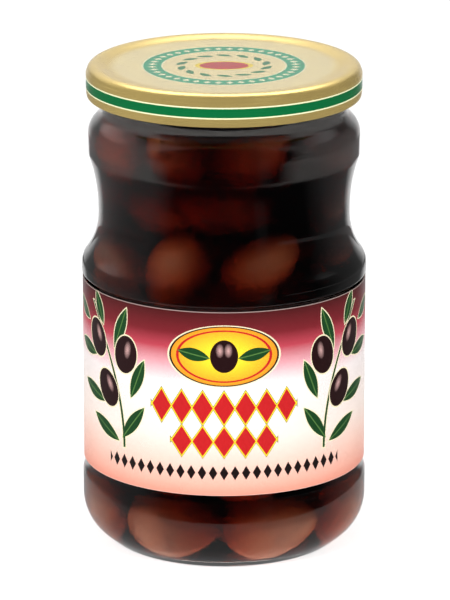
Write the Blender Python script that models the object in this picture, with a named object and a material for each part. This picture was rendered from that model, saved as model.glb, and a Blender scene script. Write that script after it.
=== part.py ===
"""A shut glass jar of whole dark olives, with a twist-off metal cap and a wrap-round paper label.

Four closed solids in metres, +Z up, with the origin at the middle of the base: the hollow glass jar,
the cap that sits on its rim, the label round its middle and the heap of olives that fills it.
"""

import math
import random

import bmesh
import bpy
from mathutils import Matrix, Vector

# Whole jar
SEGMENTS = 48
INNER_STEPS = 2
GAP = 0.0003

# Glass body, radii and heights of its outer face
BULGE_RADIUS = 0.0444
PANEL_RADIUS = 0.04355
WAIST_RADIUS = 0.0391
BAND_RADIUS = 0.0422
BAND_FOOT = 0.04205
NECK_RADIUS = 0.0381
BEAD_RADIUS = 0.0396
FINISH_RADIUS = 0.0392
LOWER_BULGE_TOP = 0.0215
PANEL_BOTTOM = 0.0248
PANEL_TOP = 0.0852
SHOULDER_START = 0.0870
SHOULDER_BULGE = 0.0888
WAIST_BOTTOM = 0.1050
WAIST_TOP = 0.1065
BAND_BOTTOM = 0.1240
BAND_TOP = 0.1303
BAND_ROUNDING = 0.0065
SHOULDER_SLOPE = 45.0
NECK_FILLET = 0.0030
BEAD_HEIGHT = 0.1413
BEAD_HALF = 0.0011
RIM_TOP = 0.1500
RIM_CROWN = 0.0009

# Glass base and wall
CONTACT_INNER = 0.0315
CONTACT_OUTER = 0.0340
HEEL_SLOPE = 38.8
HEEL_UPPER_ROUNDING = 0.0144
HEEL_LOWER_ROUNDING = 0.0040
PUSH_UP = 0.0032
PUSH_UP_FLAT = 0.0120
WALL = 0.0025
FLOOR_MIDDLE = 0.0062
FLOOR_EDGE = 0.0036
FLOOR_CORNER = 0.0330
INNER_UPPER_ROUNDING = 0.0110
INNER_LOWER_ROUNDING = 0.0040

# Cap
CAP_RADIUS = 0.0427
CAP_BOTTOM = 0.1422
CAP_TOP = 0.15225
CAP_PANEL = 0.1513
CAP_METAL = 0.00035
CURL_RADIUS = 0.00065
CURL_INSET = 0.0002
PANEL_EDGE = 0.0345
CROWN_RADIUS = 0.0397
CREASE_HEIGHT = 0.1502
CREASE_DEPTH = 0.00035
SKIRT_TOP = 0.1494
SEAL_INNER = 0.0362
SEAL_OUTER = 0.0403

# Label
LABEL_BOTTOM = 0.0263
LABEL_TOP = 0.0850
LABEL_THICKNESS = 0.0003
OVERLAP_STEP = 0.00014
OVERLAP_HALF_STEPS = 1

# Olives
OLIVE_LENGTH = 0.0268
OLIVE_WIDTH = 0.0186
OLIVE_SIDES = 8
OLIVE_RINGS = 5
SKIN_SIDES = 12
SKIN_RINGS = 8
OLIVE_TAPER = 0.10
OLIVE_UNEVENNESS = 0.05
OLIVE_CLEARANCE = 0.0006
RING_PITCH = 0.0163
FIRST_RING = 0.0138
RING_COUNTS = (7, 8, 8, 8, 8, 8, 7, 7)
HEAP_SEED = 11
RING_INSETS = (0.0, 0.0050, 0.0, 0.0, 0.0090, 0.0020, 0.0070, 0.0032)
TILT_LIMIT = math.radians(30.0)
YAW_LIMIT = math.radians(34.0)
# Olives laid as they show: ring, place, degrees right of the front, height, tilt, yaw, inset, length, width.
LAID_OLIVES = (
    (0, 0, 24.5, 0.0126, 3.0, 18.0, 0.0000, 0.0285, 0.0170),
    (0, 6, -28.0, 0.0126, 0.0, -18.0, 0.0000, 0.0285, 0.0170),
    (5, 0, 22.0, 0.0942, 44.0, 6.0, 0.0010, 0.0268, 0.0190),
    (5, 1, 82.0, 0.0930, 20.0, 0.0, 0.0020, 0.0262, 0.0184),
    (5, 7, -27.0, 0.0932, 76.0, 0.0, 0.0010, 0.0262, 0.0196),
    (5, 6, -66.0, 0.0902, -12.0, 0.0, 0.0005, 0.0268, 0.0186),
    (6, 0, -9.0, 0.1120, 3.0, 0.0, 0.0100, 0.0272, 0.0180),
    (6, 1, 80.0, 0.1130, 58.0, 0.0, 0.0010, 0.0262, 0.0180),
    (7, 0, 17.0, 0.1298, 28.0, 42.0, 0.0020, 0.0268, 0.0190),
    (7, 6, -26.0, 0.1290, -14.0, -58.0, 0.0030, 0.0264, 0.0188),
)
HIDDEN_RINGS = (2, 3)
CORE_RADIUS = 0.0262
CORE_BOTTOM = 0.0085
CORE_TOP = 0.1370
CORE_SIDES = 16
FULL_CORE_RADIUS = 0.0385
FULL_CORE_BOTTOM = 0.0440
FULL_CORE_TOP = 0.0680
FULL_CORE_SLOPE = 0.0040

# Colours as linear red, green and blue
GLASS_COLOUR = (0.93, 0.97, 0.95, 1.0)
GOLD_COLOUR = (0.58, 0.46, 0.20, 1.0)
LABEL_COLOUR = (0.72, 0.50, 0.46, 1.0)
OLIVE_COLOUR = (0.055, 0.012, 0.010, 1.0)


def clear_scene():
    """Remove every object that the file opens with."""
    for item in list(bpy.data.objects):
        bpy.data.objects.remove(item, do_unlink=True)


def make_material(name, colour, roughness, metallic=0.0):
    """Return a Principled material."""
    material = bpy.data.materials.new(name)
    material.use_nodes = True
    shader = material.node_tree.nodes["Principled BSDF"]
    shader.inputs["Base Color"].default_value = colour
    shader.inputs["Roughness"].default_value = roughness
    shader.inputs["Metallic"].default_value = metallic
    return material


def arc(centre, radius, start, end, steps, height=None):
    """Return points of an arc, or of an ellipse's arc, between two angles in degrees."""
    rise = radius if height is None else height
    points = []
    for step in range(steps + 1):
        angle = math.radians(start + (end - start) * step / steps)
        points.append((centre[0] + radius * math.cos(angle), centre[1] + rise * math.sin(angle)))
    return points


def s_curve(start, end, share, steps):
    """Return an S of two arcs that touch, upright at both ends; share is the first arc's part."""
    change = end[0] - start[0]
    rise = end[1] - start[1]
    total = (change ** 2 + rise ** 2) / (2.0 * abs(change))
    sweep = math.asin(rise / total)
    side = math.copysign(1.0, change)
    first = share * total
    second = total - first
    points = []
    for step in range(steps + 1):
        angle = sweep * step / steps
        shift = side * first * (1.0 - math.cos(angle))
        points.append((start[0] + shift, start[1] + first * math.sin(angle)))
    for step in range(steps - 1, -1, -1):
        angle = sweep * step / steps
        shift = side * second * (1.0 - math.cos(angle))
        points.append((end[0] - shift, end[1] - second * math.sin(angle)))
    return points


def heel_curve(foot, bulge, bottom, lower, upper, steps):
    """Return the heel from its foot up to the bulge: a small arc, a straight slope and a larger arc."""
    slope = math.radians(HEEL_SLOPE)
    line_foot = foot + lower * math.tan(slope / 2.0)
    corner = bottom + (bulge - line_foot) * math.tan(slope)
    top = corner + upper * math.tan((math.pi / 2.0 - slope) / 2.0)
    points = arc((foot, bottom + lower), lower, -90.0, -90.0 + HEEL_SLOPE, max(steps - 1, 1))
    points += arc((bulge - upper, top), upper, -90.0 + HEEL_SLOPE, 0.0, steps)
    return points


def waist_line(inset, steps):
    """Return the body's line from the shoulder bulge through the waist to the band, inset by the wall."""
    bulge = BULGE_RADIUS - inset
    waist = WAIST_RADIUS - inset
    band = BAND_FOOT - inset
    line = s_curve((bulge, SHOULDER_BULGE), (waist, WAIST_BOTTOM), 0.21, steps)
    rise = BAND_BOTTOM - WAIST_TOP
    flare = (rise ** 2 + (band - waist) ** 2) / (2.0 * (band - waist))
    sweep = math.degrees(math.asin(rise / flare))
    line += arc((waist + flare, WAIST_TOP), flare, 180.0, 180.0 - sweep, steps)
    return line


def outer_line():
    """Return the jar's outer face from the middle of the base up to the neck."""
    line = [(0.0, PUSH_UP), (PUSH_UP_FLAT, PUSH_UP)]
    line += arc((PUSH_UP_FLAT, 0.0), CONTACT_INNER - PUSH_UP_FLAT, 60.0, 0.0, 2, PUSH_UP)
    line += heel_curve(CONTACT_OUTER, BULGE_RADIUS, 0.0, HEEL_LOWER_ROUNDING, HEEL_UPPER_ROUNDING, 3)
    line += s_curve((BULGE_RADIUS, LOWER_BULGE_TOP), (PANEL_RADIUS, PANEL_BOTTOM), 0.5, 1)
    line += s_curve((PANEL_RADIUS, PANEL_TOP), (BULGE_RADIUS, SHOULDER_START), 0.5, 1)
    line += waist_line(0.0, 3)
    line += shoulder_line(0.0, 2)
    line += arc((FINISH_RADIUS, BEAD_HEIGHT), BEAD_RADIUS - FINISH_RADIUS, -90.0, 90.0, 3, BEAD_HALF)
    return line


def shoulder_line(inset, steps):
    """Return the band's rounded top, the slope above it and the fillet into the neck, inset by the wall."""
    slope = math.radians(SHOULDER_SLOPE)
    neck = NECK_RADIUS - inset
    rounding = BAND_ROUNDING - inset
    fillet = NECK_FILLET + inset
    centre = BAND_RADIUS - BAND_ROUNDING
    slope_start = (centre + rounding * math.cos(slope), BAND_TOP + rounding * math.sin(slope))
    run = slope_start[0] - (neck + fillet * (1.0 - math.cos(slope)))
    fillet_height = slope_start[1] + run / math.tan(slope) + fillet * math.sin(slope)
    line = arc((centre, BAND_TOP), rounding, 0.0, SHOULDER_SLOPE, steps)
    line += arc((neck + fillet, fillet_height), fillet, 180.0 + SHOULDER_SLOPE, 180.0, steps)
    return line


def glass_outline():
    """Return the closed outline of the jar's wall, base and rim."""
    line = outer_line()
    inside = [(0.0, FLOOR_MIDDLE), (FLOOR_CORNER * 0.5, (FLOOR_MIDDLE * 3.0 + FLOOR_EDGE) / 4.0)]
    inside += inner_line(INNER_STEPS)
    rim_half = (FINISH_RADIUS - inside[-1][0]) / 2.0
    line += arc((FINISH_RADIUS - rim_half, RIM_TOP - RIM_CROWN), rim_half, 0.0, 180.0, 3, RIM_CROWN)
    return line + inside[::-1]


def inner_line(steps):
    """Return the inside of the wall from the floor's corner up to the neck."""
    roundings = (INNER_LOWER_ROUNDING, INNER_UPPER_ROUNDING)
    line = heel_curve(FLOOR_CORNER, PANEL_RADIUS - WALL, FLOOR_EDGE, *roundings, steps)
    line += waist_line(WALL, steps)
    line += shoulder_line(WALL, steps - 1)
    return line


def cap_outline():
    """Return the closed outline of the cap: sunk panel, crown, crease, skirt, curl and seal ring."""
    line = [(0.0, CAP_PANEL)]
    line += crown_rise(3)
    line += crown_corner(5)
    line += [(CAP_RADIUS, SKIRT_TOP), (CAP_RADIUS, CAP_BOTTOM + CURL_RADIUS * 3.0)]
    curl_centre = (CAP_RADIUS - CURL_INSET - CURL_RADIUS, CAP_BOTTOM + CURL_RADIUS)
    line += arc(curl_centre, CURL_RADIUS, 0.0, -180.0, 5)
    inner_skirt = CAP_RADIUS - CAP_METAL
    line += [(curl_centre[0] - CURL_RADIUS, CAP_BOTTOM + CURL_RADIUS * 2.0)]
    line += [(inner_skirt, CAP_BOTTOM + CURL_RADIUS * 3.0), (inner_skirt, SKIRT_TOP)]
    line += [(SEAL_OUTER, RIM_TOP + GAP), (SEAL_INNER, RIM_TOP + GAP)]
    line += [(PANEL_EDGE - CAP_METAL, CAP_PANEL - CAP_METAL), (0.0, CAP_PANEL - CAP_METAL)]
    return line


def crown_rise(steps):
    """Return the gentle rise from the sunk panel out to the crown."""
    points = []
    for step in range(steps + 1):
        share = step / steps
        height = CAP_PANEL + (CAP_TOP - CAP_PANEL) * math.sin(share * math.pi / 2.0) ** 2
        points.append((PANEL_EDGE + (CROWN_RADIUS - PANEL_EDGE) * share, height))
    return points


def crown_corner(steps):
    """Return the crown's rounding down to the crease above the skirt."""
    width = CAP_RADIUS - CREASE_DEPTH - CROWN_RADIUS
    return arc((CROWN_RADIUS, CREASE_HEIGHT), width, 90.0, 0.0, steps, CAP_TOP - CREASE_HEIGHT)[1:]


def inner_radius(height):
    """Return the inside radius of the glass at a height."""
    inside = inner_line(INNER_STEPS)
    if height <= inside[0][1]:
        return inside[0][0]
    for (radius_a, height_a), (radius_b, height_b) in zip(inside, inside[1:]):
        if height_a <= height <= height_b and height_b > height_a:
            share = (height - height_a) / (height_b - height_a)
            return radius_a + (radius_b - radius_a) * share
    return inside[-1][0]


def floor_height(radius):
    """Return the height of the glass floor inside at a radius."""
    half = FLOOR_CORNER * 0.5
    knee = (FLOOR_MIDDLE * 3.0 + FLOOR_EDGE) / 4.0
    if radius <= half:
        return FLOOR_MIDDLE + (knee - FLOOR_MIDDLE) * radius / half
    return knee + (FLOOR_EDGE - knee) * min((radius - half) / half, 1.0)


def link_mesh(name, shape, material):
    """Turn a bmesh into a named object with its material, smooth with sharp edges kept."""
    bmesh.ops.recalc_face_normals(shape, faces=shape.faces)
    mesh = bpy.data.meshes.new(name)
    shape.to_mesh(mesh)
    shape.free()
    mesh.shade_smooth()
    mesh.set_sharp_from_angle(angle=math.radians(35.0))
    mesh.materials.append(material)
    item = bpy.data.objects.new(name, mesh)
    bpy.context.scene.collection.objects.link(item)
    return item


def spun(outline, segments):
    """Return a bmesh of an outline in the XZ plane, turned once round the Z axis."""
    shape = bmesh.new()
    verts = [shape.verts.new((radius, 0.0, height)) for radius, height in outline]
    edges = [shape.edges.new(pair) for pair in zip(verts, verts[1:])]
    bmesh.ops.spin(
        shape,
        geom=verts + edges,
        cent=(0.0, 0.0, 0.0),
        axis=(0.0, 0.0, 1.0),
        angle=math.tau,
        steps=segments,
        use_merge=True,
    )
    bmesh.ops.remove_doubles(shape, verts=shape.verts, dist=0.000005)
    loose = [edge for edge in shape.edges if not edge.link_faces]
    bmesh.ops.delete(shape, geom=loose, context="EDGES")
    return shape


def make_glass():
    """The hollow jar."""
    material = make_material("clear_glass", GLASS_COLOUR, 0.05)
    return link_mesh("glass_jar", spun(glass_outline(), SEGMENTS), material)


def make_cap():
    """The twist-off cap."""
    material = make_material("gold_lacquer", GOLD_COLOUR, 0.25, 1.0)
    return link_mesh("lid", spun(cap_outline(), SEGMENTS), material)


def make_label():
    """The paper label, a sleeve that is one step thicker where its ends overlap at the back."""
    inner = PANEL_RADIUS + GAP
    shape = bmesh.new()
    rings = []
    back = SEGMENTS // 4
    for height in (LABEL_BOTTOM, LABEL_TOP):
        inside = []
        outside = []
        for step in range(SEGMENTS):
            angle = math.tau * step / SEGMENTS
            overlap = OVERLAP_STEP if abs(step - back) <= OVERLAP_HALF_STEPS else 0.0
            outer = inner + LABEL_THICKNESS + overlap
            inside.append(shape.verts.new((inner * math.cos(angle), inner * math.sin(angle), height)))
            outside.append(shape.verts.new((outer * math.cos(angle), outer * math.sin(angle), height)))
        rings.append((inside, outside))
    (low_in, low_out), (high_in, high_out) = rings
    for step in range(SEGMENTS):
        after = (step + 1) % SEGMENTS
        shape.faces.new((low_out[step], low_out[after], high_out[after], high_out[step]))
        shape.faces.new((low_in[after], low_in[step], high_in[step], high_in[after]))
        shape.faces.new((high_out[step], high_out[after], high_in[after], high_in[step]))
        shape.faces.new((low_in[step], low_in[after], low_out[after], low_out[step]))
    return link_mesh("label", shape, make_material("label_paper", LABEL_COLOUR, 0.45))


def olive_points(centre, axis, length, width):
    """Return points all over an olive's skin, blunt at one end and narrower at the other."""
    turn = axis.to_track_quat("Z", "Y")
    points = []
    for ring in range(SKIN_RINGS + 1):
        lift = math.cos(math.pi * ring / SKIN_RINGS)
        half = width / 2.0 * math.sqrt(max(1.0 - lift * lift, 0.0)) * (1.0 - OLIVE_TAPER * lift)
        for side in range(SKIN_SIDES):
            angle = math.tau * side / SKIN_SIDES
            local = Vector((half * math.cos(angle), half * math.sin(angle), length / 2.0 * lift))
            points.append(centre + turn @ local)
    return points


def olive_reach(centre, axis, length, width):
    """Return how far an olive at this place reaches past the glass, the clearance included."""
    reach = -1.0
    for point in olive_points(centre, axis, length, width):
        reach = max(reach, math.hypot(point.x, point.y) + OLIVE_CLEARANCE - inner_radius(point.z))
    return reach


def olive_sink(centre, axis, length, width):
    """Return how far an olive at this place sinks into the glass floor, the clearance included."""
    sink = 0.0
    for point in olive_points(centre, axis, length, width):
        radius = math.hypot(point.x, point.y)
        if radius <= FLOOR_CORNER:
            sink = max(sink, floor_height(radius) + OLIVE_CLEARANCE - point.z)
    return sink


def olive_places():
    """Return ring, centre, axis, length and width of each olive, slid to the glass and back by its inset."""
    chance = random.Random(HEAP_SEED)
    laid = {(ring, index): rest for ring, index, *rest in LAID_OLIVES}
    places = []
    for ring, count in enumerate(RING_COUNTS):
        spacing = math.tau / count
        front = -math.pi / 2.0 + (spacing / 2.0 if ring in (0, 5) else spacing * (ring % 2) * 0.5)
        for index in range(count):
            loose = 0.0 if ring in (0, 5) else 1.0
            angle = front + spacing * index + chance.uniform(-0.07, 0.07) * loose
            height = FIRST_RING + RING_PITCH * ring + chance.uniform(-0.0016, 0.0016) * loose
            tilt = chance.uniform(-TILT_LIMIT, TILT_LIMIT) * (0.25 + 0.75 * loose)
            yaw = chance.uniform(-YAW_LIMIT, YAW_LIMIT)
            length = OLIVE_LENGTH * (1.0 + chance.uniform(-1.0, 1.0) * OLIVE_UNEVENNESS)
            width = OLIVE_WIDTH * (1.0 + chance.uniform(-1.0, 1.0) * OLIVE_UNEVENNESS)
            inset = RING_INSETS[ring]
            if (ring, index) in laid:
                turn, height, tilt, yaw, inset, length, width = laid[(ring, index)]
                angle = math.radians(turn - 90.0)
                tilt = math.radians(tilt)
                yaw = math.radians(yaw)
            outward = Vector((math.cos(angle), math.sin(angle), 0.0))
            along = Vector((-math.sin(angle), math.cos(angle), 0.0))
            level = along * math.cos(yaw) + outward * math.sin(yaw)
            axis = level * math.cos(tilt) + Vector((0.0, 0.0, 1.0)) * math.sin(tilt)
            distance = PANEL_RADIUS - WALL - width / 2.0
            centre = outward * distance + Vector((0.0, 0.0, height))
            for _ in range(3):
                distance -= max(olive_reach(centre, axis, length, width), 0.0)
                centre = outward * distance + Vector((0.0, 0.0, height))
                height += olive_sink(centre, axis, length, width)
            centre = outward * (distance - inset) + Vector((0.0, 0.0, height))
            places.append((ring, centre, axis, length, width))
    return places


def make_olive(index, centre, axis, length, width):
    """One olive with few sides, blunt at one end and pointed at the other, for the heap."""
    shape = bmesh.new()
    bmesh.ops.create_uvsphere(shape, u_segments=OLIVE_SIDES, v_segments=OLIVE_RINGS, radius=1.0)
    for vert in shape.verts:
        taper = 1.0 - OLIVE_TAPER * vert.co.z
        vert.co.x *= width / 2.0 * taper
        vert.co.y *= width / 2.0 * taper
        vert.co.z *= length / 2.0
    turn = axis.to_track_quat("Z", "Y").to_matrix().to_4x4()
    bmesh.ops.transform(shape, matrix=Matrix.Translation(centre) @ turn, verts=shape.verts)
    return link_mesh("olive_%02d" % index, shape, bpy.data.materials["olive_skin"])


def largest_piece(item):
    """Keep the biggest connected piece of a mesh object, with its faces as triangles."""
    shape = bmesh.new()
    shape.from_mesh(item.data)
    bmesh.ops.triangulate(shape, faces=shape.faces)
    shape.verts.ensure_lookup_table()
    unseen = set(shape.verts)
    pieces = []
    while unseen:
        reached = {unseen.pop()}
        edge_of_search = list(reached)
        while edge_of_search:
            vert = edge_of_search.pop()
            for edge in vert.link_edges:
                other = edge.other_vert(vert)
                if other in unseen:
                    unseen.remove(other)
                    reached.add(other)
                    edge_of_search.append(other)
        pieces.append(reached)
    keep = max(pieces, key=len)
    bmesh.ops.delete(shape, geom=[vert for vert in shape.verts if vert not in keep], context="VERTS")
    bmesh.ops.recalc_face_normals(shape, faces=shape.faces)
    shape.to_mesh(item.data)
    shape.free()


def make_heap():
    """The olives that fill the jar: a plain core, full behind the label, with those that show fused on."""
    material = make_material("olive_skin", OLIVE_COLOUR, 0.35)
    core_outline = [
        (0.0, CORE_BOTTOM),
        (CORE_RADIUS, CORE_BOTTOM),
        (CORE_RADIUS, FULL_CORE_BOTTOM - FULL_CORE_SLOPE),
        (FULL_CORE_RADIUS, FULL_CORE_BOTTOM),
        (FULL_CORE_RADIUS, FULL_CORE_TOP),
        (CORE_RADIUS, FULL_CORE_TOP + FULL_CORE_SLOPE),
        (CORE_RADIUS, CORE_TOP),
        (0.0, CORE_TOP),
    ]
    heap = link_mesh("olives", spun(core_outline, CORE_SIDES), material)
    pieces = bpy.data.collections.new("heap_pieces")
    bpy.context.scene.collection.children.link(pieces)
    shown = [place for place in olive_places() if place[0] not in HIDDEN_RINGS]
    for index, (_, *place) in enumerate(shown):
        olive = make_olive(index, *place)
        bpy.context.scene.collection.objects.unlink(olive)
        pieces.objects.link(olive)
    union = heap.modifiers.new("fuse", "BOOLEAN")
    union.operation = "UNION"
    union.operand_type = "COLLECTION"
    union.collection = pieces
    union.solver = "EXACT"
    bpy.context.view_layer.update()
    evaluated = heap.evaluated_get(bpy.context.evaluated_depsgraph_get())
    fused = bpy.data.meshes.new_from_object(evaluated)
    heap.modifiers.clear()
    heap.data = fused
    for olive in list(pieces.objects):
        bpy.data.objects.remove(olive, do_unlink=True)
    bpy.data.collections.remove(pieces)
    largest_piece(heap)
    return heap


def main():
    """Build the four pieces."""
    clear_scene()
    make_glass()
    make_cap()
    make_label()
    make_heap()


main()
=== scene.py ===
"""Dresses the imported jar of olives: glass, brine, whole olives, a lacquered lid and a paper label."""

import logging
import math
import random
from dataclasses import dataclass, replace
from enum import Enum

import bmesh
import bpy
from mathutils import Matrix, Vector


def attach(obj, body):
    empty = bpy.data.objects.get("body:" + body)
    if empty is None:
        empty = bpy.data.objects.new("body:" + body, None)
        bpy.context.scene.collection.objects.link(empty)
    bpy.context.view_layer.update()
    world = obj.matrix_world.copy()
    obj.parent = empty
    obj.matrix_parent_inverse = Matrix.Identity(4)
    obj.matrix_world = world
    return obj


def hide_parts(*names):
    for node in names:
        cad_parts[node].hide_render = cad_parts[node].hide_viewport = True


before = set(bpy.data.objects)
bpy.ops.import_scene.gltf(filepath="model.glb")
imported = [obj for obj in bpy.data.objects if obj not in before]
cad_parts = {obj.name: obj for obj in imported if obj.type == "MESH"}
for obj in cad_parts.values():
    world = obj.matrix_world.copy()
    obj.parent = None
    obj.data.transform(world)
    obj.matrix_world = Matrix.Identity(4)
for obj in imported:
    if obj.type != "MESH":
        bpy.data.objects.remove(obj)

logging.basicConfig(level=logging.INFO, format="%(message)s")
LOG = logging.getLogger("jar")

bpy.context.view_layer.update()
BODY = "root"
MILLIMETRE = 0.001
MERGE = 0.000004
WHITE = (1.0, 1.0, 1.0, 1.0)
UPWARDS = Vector((0.0, 0.0, 1.0))

Point = tuple[float, float]
Rgba = tuple[float, float, float, float]
Socket = bpy.types.NodeSocket
Shape = bmesh.types.BMesh
Feed = float | tuple[float, ...] | Socket


class Slot(Enum):
    """The record's material slots."""

    GLASS = "clear_glass"
    GOLD = "gold_lacquer"
    PAPER = "label_paper"
    OLIVE = "olive_skin"


class Blend(Enum):
    """Kinds of Mix node, each with the place of its first input and of its result."""

    NUMBER = ("FLOAT", 2, 0)
    COLOUR = ("RGBA", 6, 2)


def linear(red: int, green: int, blue: int) -> Rgba:
    """Turn a screen colour into the linear values that shaders take.

    Args:
        red: red from 0 to 255.
        green: green from 0 to 255.
        blue: blue from 0 to 255.

    Returns:
        Linear red, green, blue and a full alpha.
    """
    values = []
    for part in (red, green, blue):
        share = part / 255.0
        values.append(share / 12.92 if share <= 0.04045 else ((share + 0.055) / 1.055) ** 2.4)
    return (values[0], values[1], values[2], 1.0)


class Nodes:
    """A node tree, with short calls that add nodes to it."""

    def __init__(self, tree: bpy.types.NodeTree) -> None:
        """Take a tree and empty it.

        Args:
            tree: the tree.
        """
        self.tree = tree
        self.tree.nodes.clear()

    def feed(self, socket: Socket, value: Feed) -> None:
        """Link a socket into another, or set its value.

        Args:
            socket: the input to fill.
            value: an output socket or a plain value.
        """
        if isinstance(value, Socket):
            self.tree.links.new(value, socket)
        else:
            socket.default_value = value

    def add(self, kind: str, inputs: dict[str, Feed] | None = None, **settings: object) -> bpy.types.Node:
        """Add a node.

        Args:
            kind: the node's type without its first words.
            inputs: what goes into each named input.
            settings: properties of the node.

        Returns:
            The new node.
        """
        node = self.tree.nodes.new("ShaderNode" + kind)
        for name, value in settings.items():
            setattr(node, name, value)
        for name, value in (inputs or {}).items():
            self.feed(node.inputs[name], value)
        return node

    def math(self, operation: str, *values: Feed, clamp: bool = False) -> Socket:
        """Add a Math node.

        Args:
            operation: what it works out.
            values: what goes into its inputs, in order.
            clamp: whether its result is kept from 0 to 1.

        Returns:
            The result's socket.
        """
        node = self.add("Math", operation=operation, use_clamp=clamp)
        for socket, value in zip(node.inputs, values):
            self.feed(socket, value)
        return node.outputs[0]

    def times(self, first: Feed, second: Feed) -> Socket:
        """Return the product of two values."""
        return self.math("MULTIPLY", first, second)

    def plus(self, first: Feed, second: Feed) -> Socket:
        """Return the sum of two values."""
        return self.math("ADD", first, second)

    def minus(self, first: Feed, second: Feed) -> Socket:
        """Return the first value less the second."""
        return self.math("SUBTRACT", first, second)

    def over(self, first: Feed, second: Feed) -> Socket:
        """Return the first value divided by the second."""
        return self.math("DIVIDE", first, second)

    def larger(self, first: Feed, second: Feed) -> Socket:
        """Return the larger of two values."""
        return self.math("MAXIMUM", first, second)

    def smaller(self, first: Feed, second: Feed) -> Socket:
        """Return the smaller of two values."""
        return self.math("MINIMUM", first, second)

    def unsigned(self, value: Feed) -> Socket:
        """Return a value without its sign."""
        return self.math("ABSOLUTE", value)

    def rest(self, share: Feed) -> Socket:
        """Return what a share leaves of the whole."""
        return self.minus(1.0, share)

    def spread(self, value: Feed, limits: Point, results: Point) -> Socket:
        """Carry a value from one range over to another, and keep it in there.

        Args:
            value: the value.
            limits: the range that it comes from.
            results: what the two ends of that range become.

        Returns:
            The new value's socket.
        """
        inputs = {"Value": value, "From Min": limits[0], "From Max": limits[1]}
        inputs.update({"To Min": results[0], "To Max": results[1]})
        return self.add("MapRange", inputs, clamp=True).outputs[0]

    def edge(self, value: Feed, at: float, soft: float) -> Socket:
        """Return 0 below a limit and 1 above it.

        Args:
            value: the value that is tested.
            at: the limit.
            soft: how wide the change is.

        Returns:
            The mask's socket.
        """
        return self.spread(value, (at - soft / 2.0, at + soft / 2.0), (0.0, 1.0))

    def band(self, value: Feed, low: float, high: float, soft: float) -> Socket:
        """Return 1 between two limits and 0 outside them."""
        return self.times(self.edge(value, low, soft), self.rest(self.edge(value, high, soft)))

    def mixed(self, blend: Blend, share: Feed, first: Feed, second: Feed) -> Socket:
        """Add a Mix node.

        Args:
            blend: whether it mixes numbers or colours.
            share: the second's part of the mix.
            first: what a share of 0 gives.
            second: what a share of 1 gives.

        Returns:
            The mix's socket.
        """
        kind, place, result = blend.value
        node = self.add("Mix", data_type=kind)
        self.feed(node.inputs[0], share)
        self.feed(node.inputs[place], first)
        self.feed(node.inputs[place + 1], second)
        return node.outputs[result]

    def mix(self, share: Feed, first: Feed, second: Feed) -> Socket:
        """Return a mix of two colours."""
        return self.mixed(Blend.COLOUR, share, first, second)

    def blend(self, share: Feed, first: Feed, second: Feed) -> Socket:
        """Return a mix of two numbers."""
        return self.mixed(Blend.NUMBER, share, first, second)

    def paint(self, under: Feed, ink: Feed, field: Feed, at: float, soft: float) -> Socket:
        """Return a colour with an ink laid over it where a field passes a limit."""
        return self.mix(self.edge(field, at, soft), under, ink)

    def ramp(self, value: Feed, stops: tuple[tuple[float, Rgba], ...]) -> Socket:
        """Return a colour from a row of colour stops.

        Args:
            value: the place on the ramp, from 0 to 1.
            stops: place and colour of each stop.

        Returns:
            The colour's socket.
        """
        node = self.add("ValToRGB", {"Fac": value})
        elements = node.color_ramp.elements
        while len(elements) < len(stops):
            elements.new(0.5)
        for element, (place, colour) in zip(elements, stops):
            element.position = place
            element.color = colour
        return node.outputs[0]

    def scaled(self, vector: Feed, scale: Feed) -> Socket:
        """Multiply every part of a vector or a colour by one number.

        Args:
            vector: the vector or colour.
            scale: the number.

        Returns:
            The result's socket.
        """
        node = self.add("VectorMath", operation="SCALE")
        self.feed(node.inputs[0], vector)
        self.feed(node.inputs["Scale"], scale)
        return node.outputs[0]

    def place(self) -> Socket:
        """Return the object coordinates in metres."""
        return self.add("TexCoord").outputs["Object"]

    def noise(self, scale: float, detail: float) -> Socket:
        """Return noise between 0 and 1 in object coordinates."""
        return self.add("TexNoise", {"Vector": self.place(), "Scale": scale, "Detail": detail}).outputs[0]

    def parts(self, vector: Feed) -> tuple[Socket, Socket, Socket]:
        """Return the three parts of a vector."""
        outputs = self.add("SeparateXYZ", {"Vector": vector}).outputs
        return outputs[0], outputs[1], outputs[2]

    def millimetres(self) -> tuple[Socket, Socket, Socket]:
        """Return the object coordinates along each axis in millimetres."""
        return self.parts(self.scaled(self.place(), 1.0 / MILLIMETRE))

    def bump(self, height: Feed, distance: float, strength: float) -> Socket:
        """Return a normal that follows a height in metres times the distance."""
        inputs = {"Height": height, "Distance": distance, "Strength": strength}
        return self.add("Bump", inputs).outputs[0]

    def both(
        self, kind: str, first: bpy.types.Node, second: bpy.types.Node, start: int = 0
    ) -> bpy.types.Node:
        """Put two shaders together.

        Args:
            kind: the type of the node that joins them.
            first: the first shader.
            second: the second shader.
            start: the place of the first shader's input.

        Returns:
            The node that joins them.
        """
        node = self.add(kind)
        self.feed(node.inputs[start], first.outputs[0])
        self.feed(node.inputs[start + 1], second.outputs[0])
        return node


class Finish(Nodes):
    """One node material."""

    def __init__(self, name: str) -> None:
        """Start an empty material.

        Args:
            name: name of the material.
        """
        self.material = bpy.data.materials.new(name)
        self.material.use_nodes = True
        super().__init__(self.material.node_tree)
        self.output = self.add("OutputMaterial")

    def cover(self, shader: bpy.types.Node) -> bpy.types.Material:
        """Lay a shader over the surface.

        Args:
            shader: the shader's node.

        Returns:
            The material.
        """
        self.feed(self.output.inputs["Surface"], shader.outputs[0])
        return self.material


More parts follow.
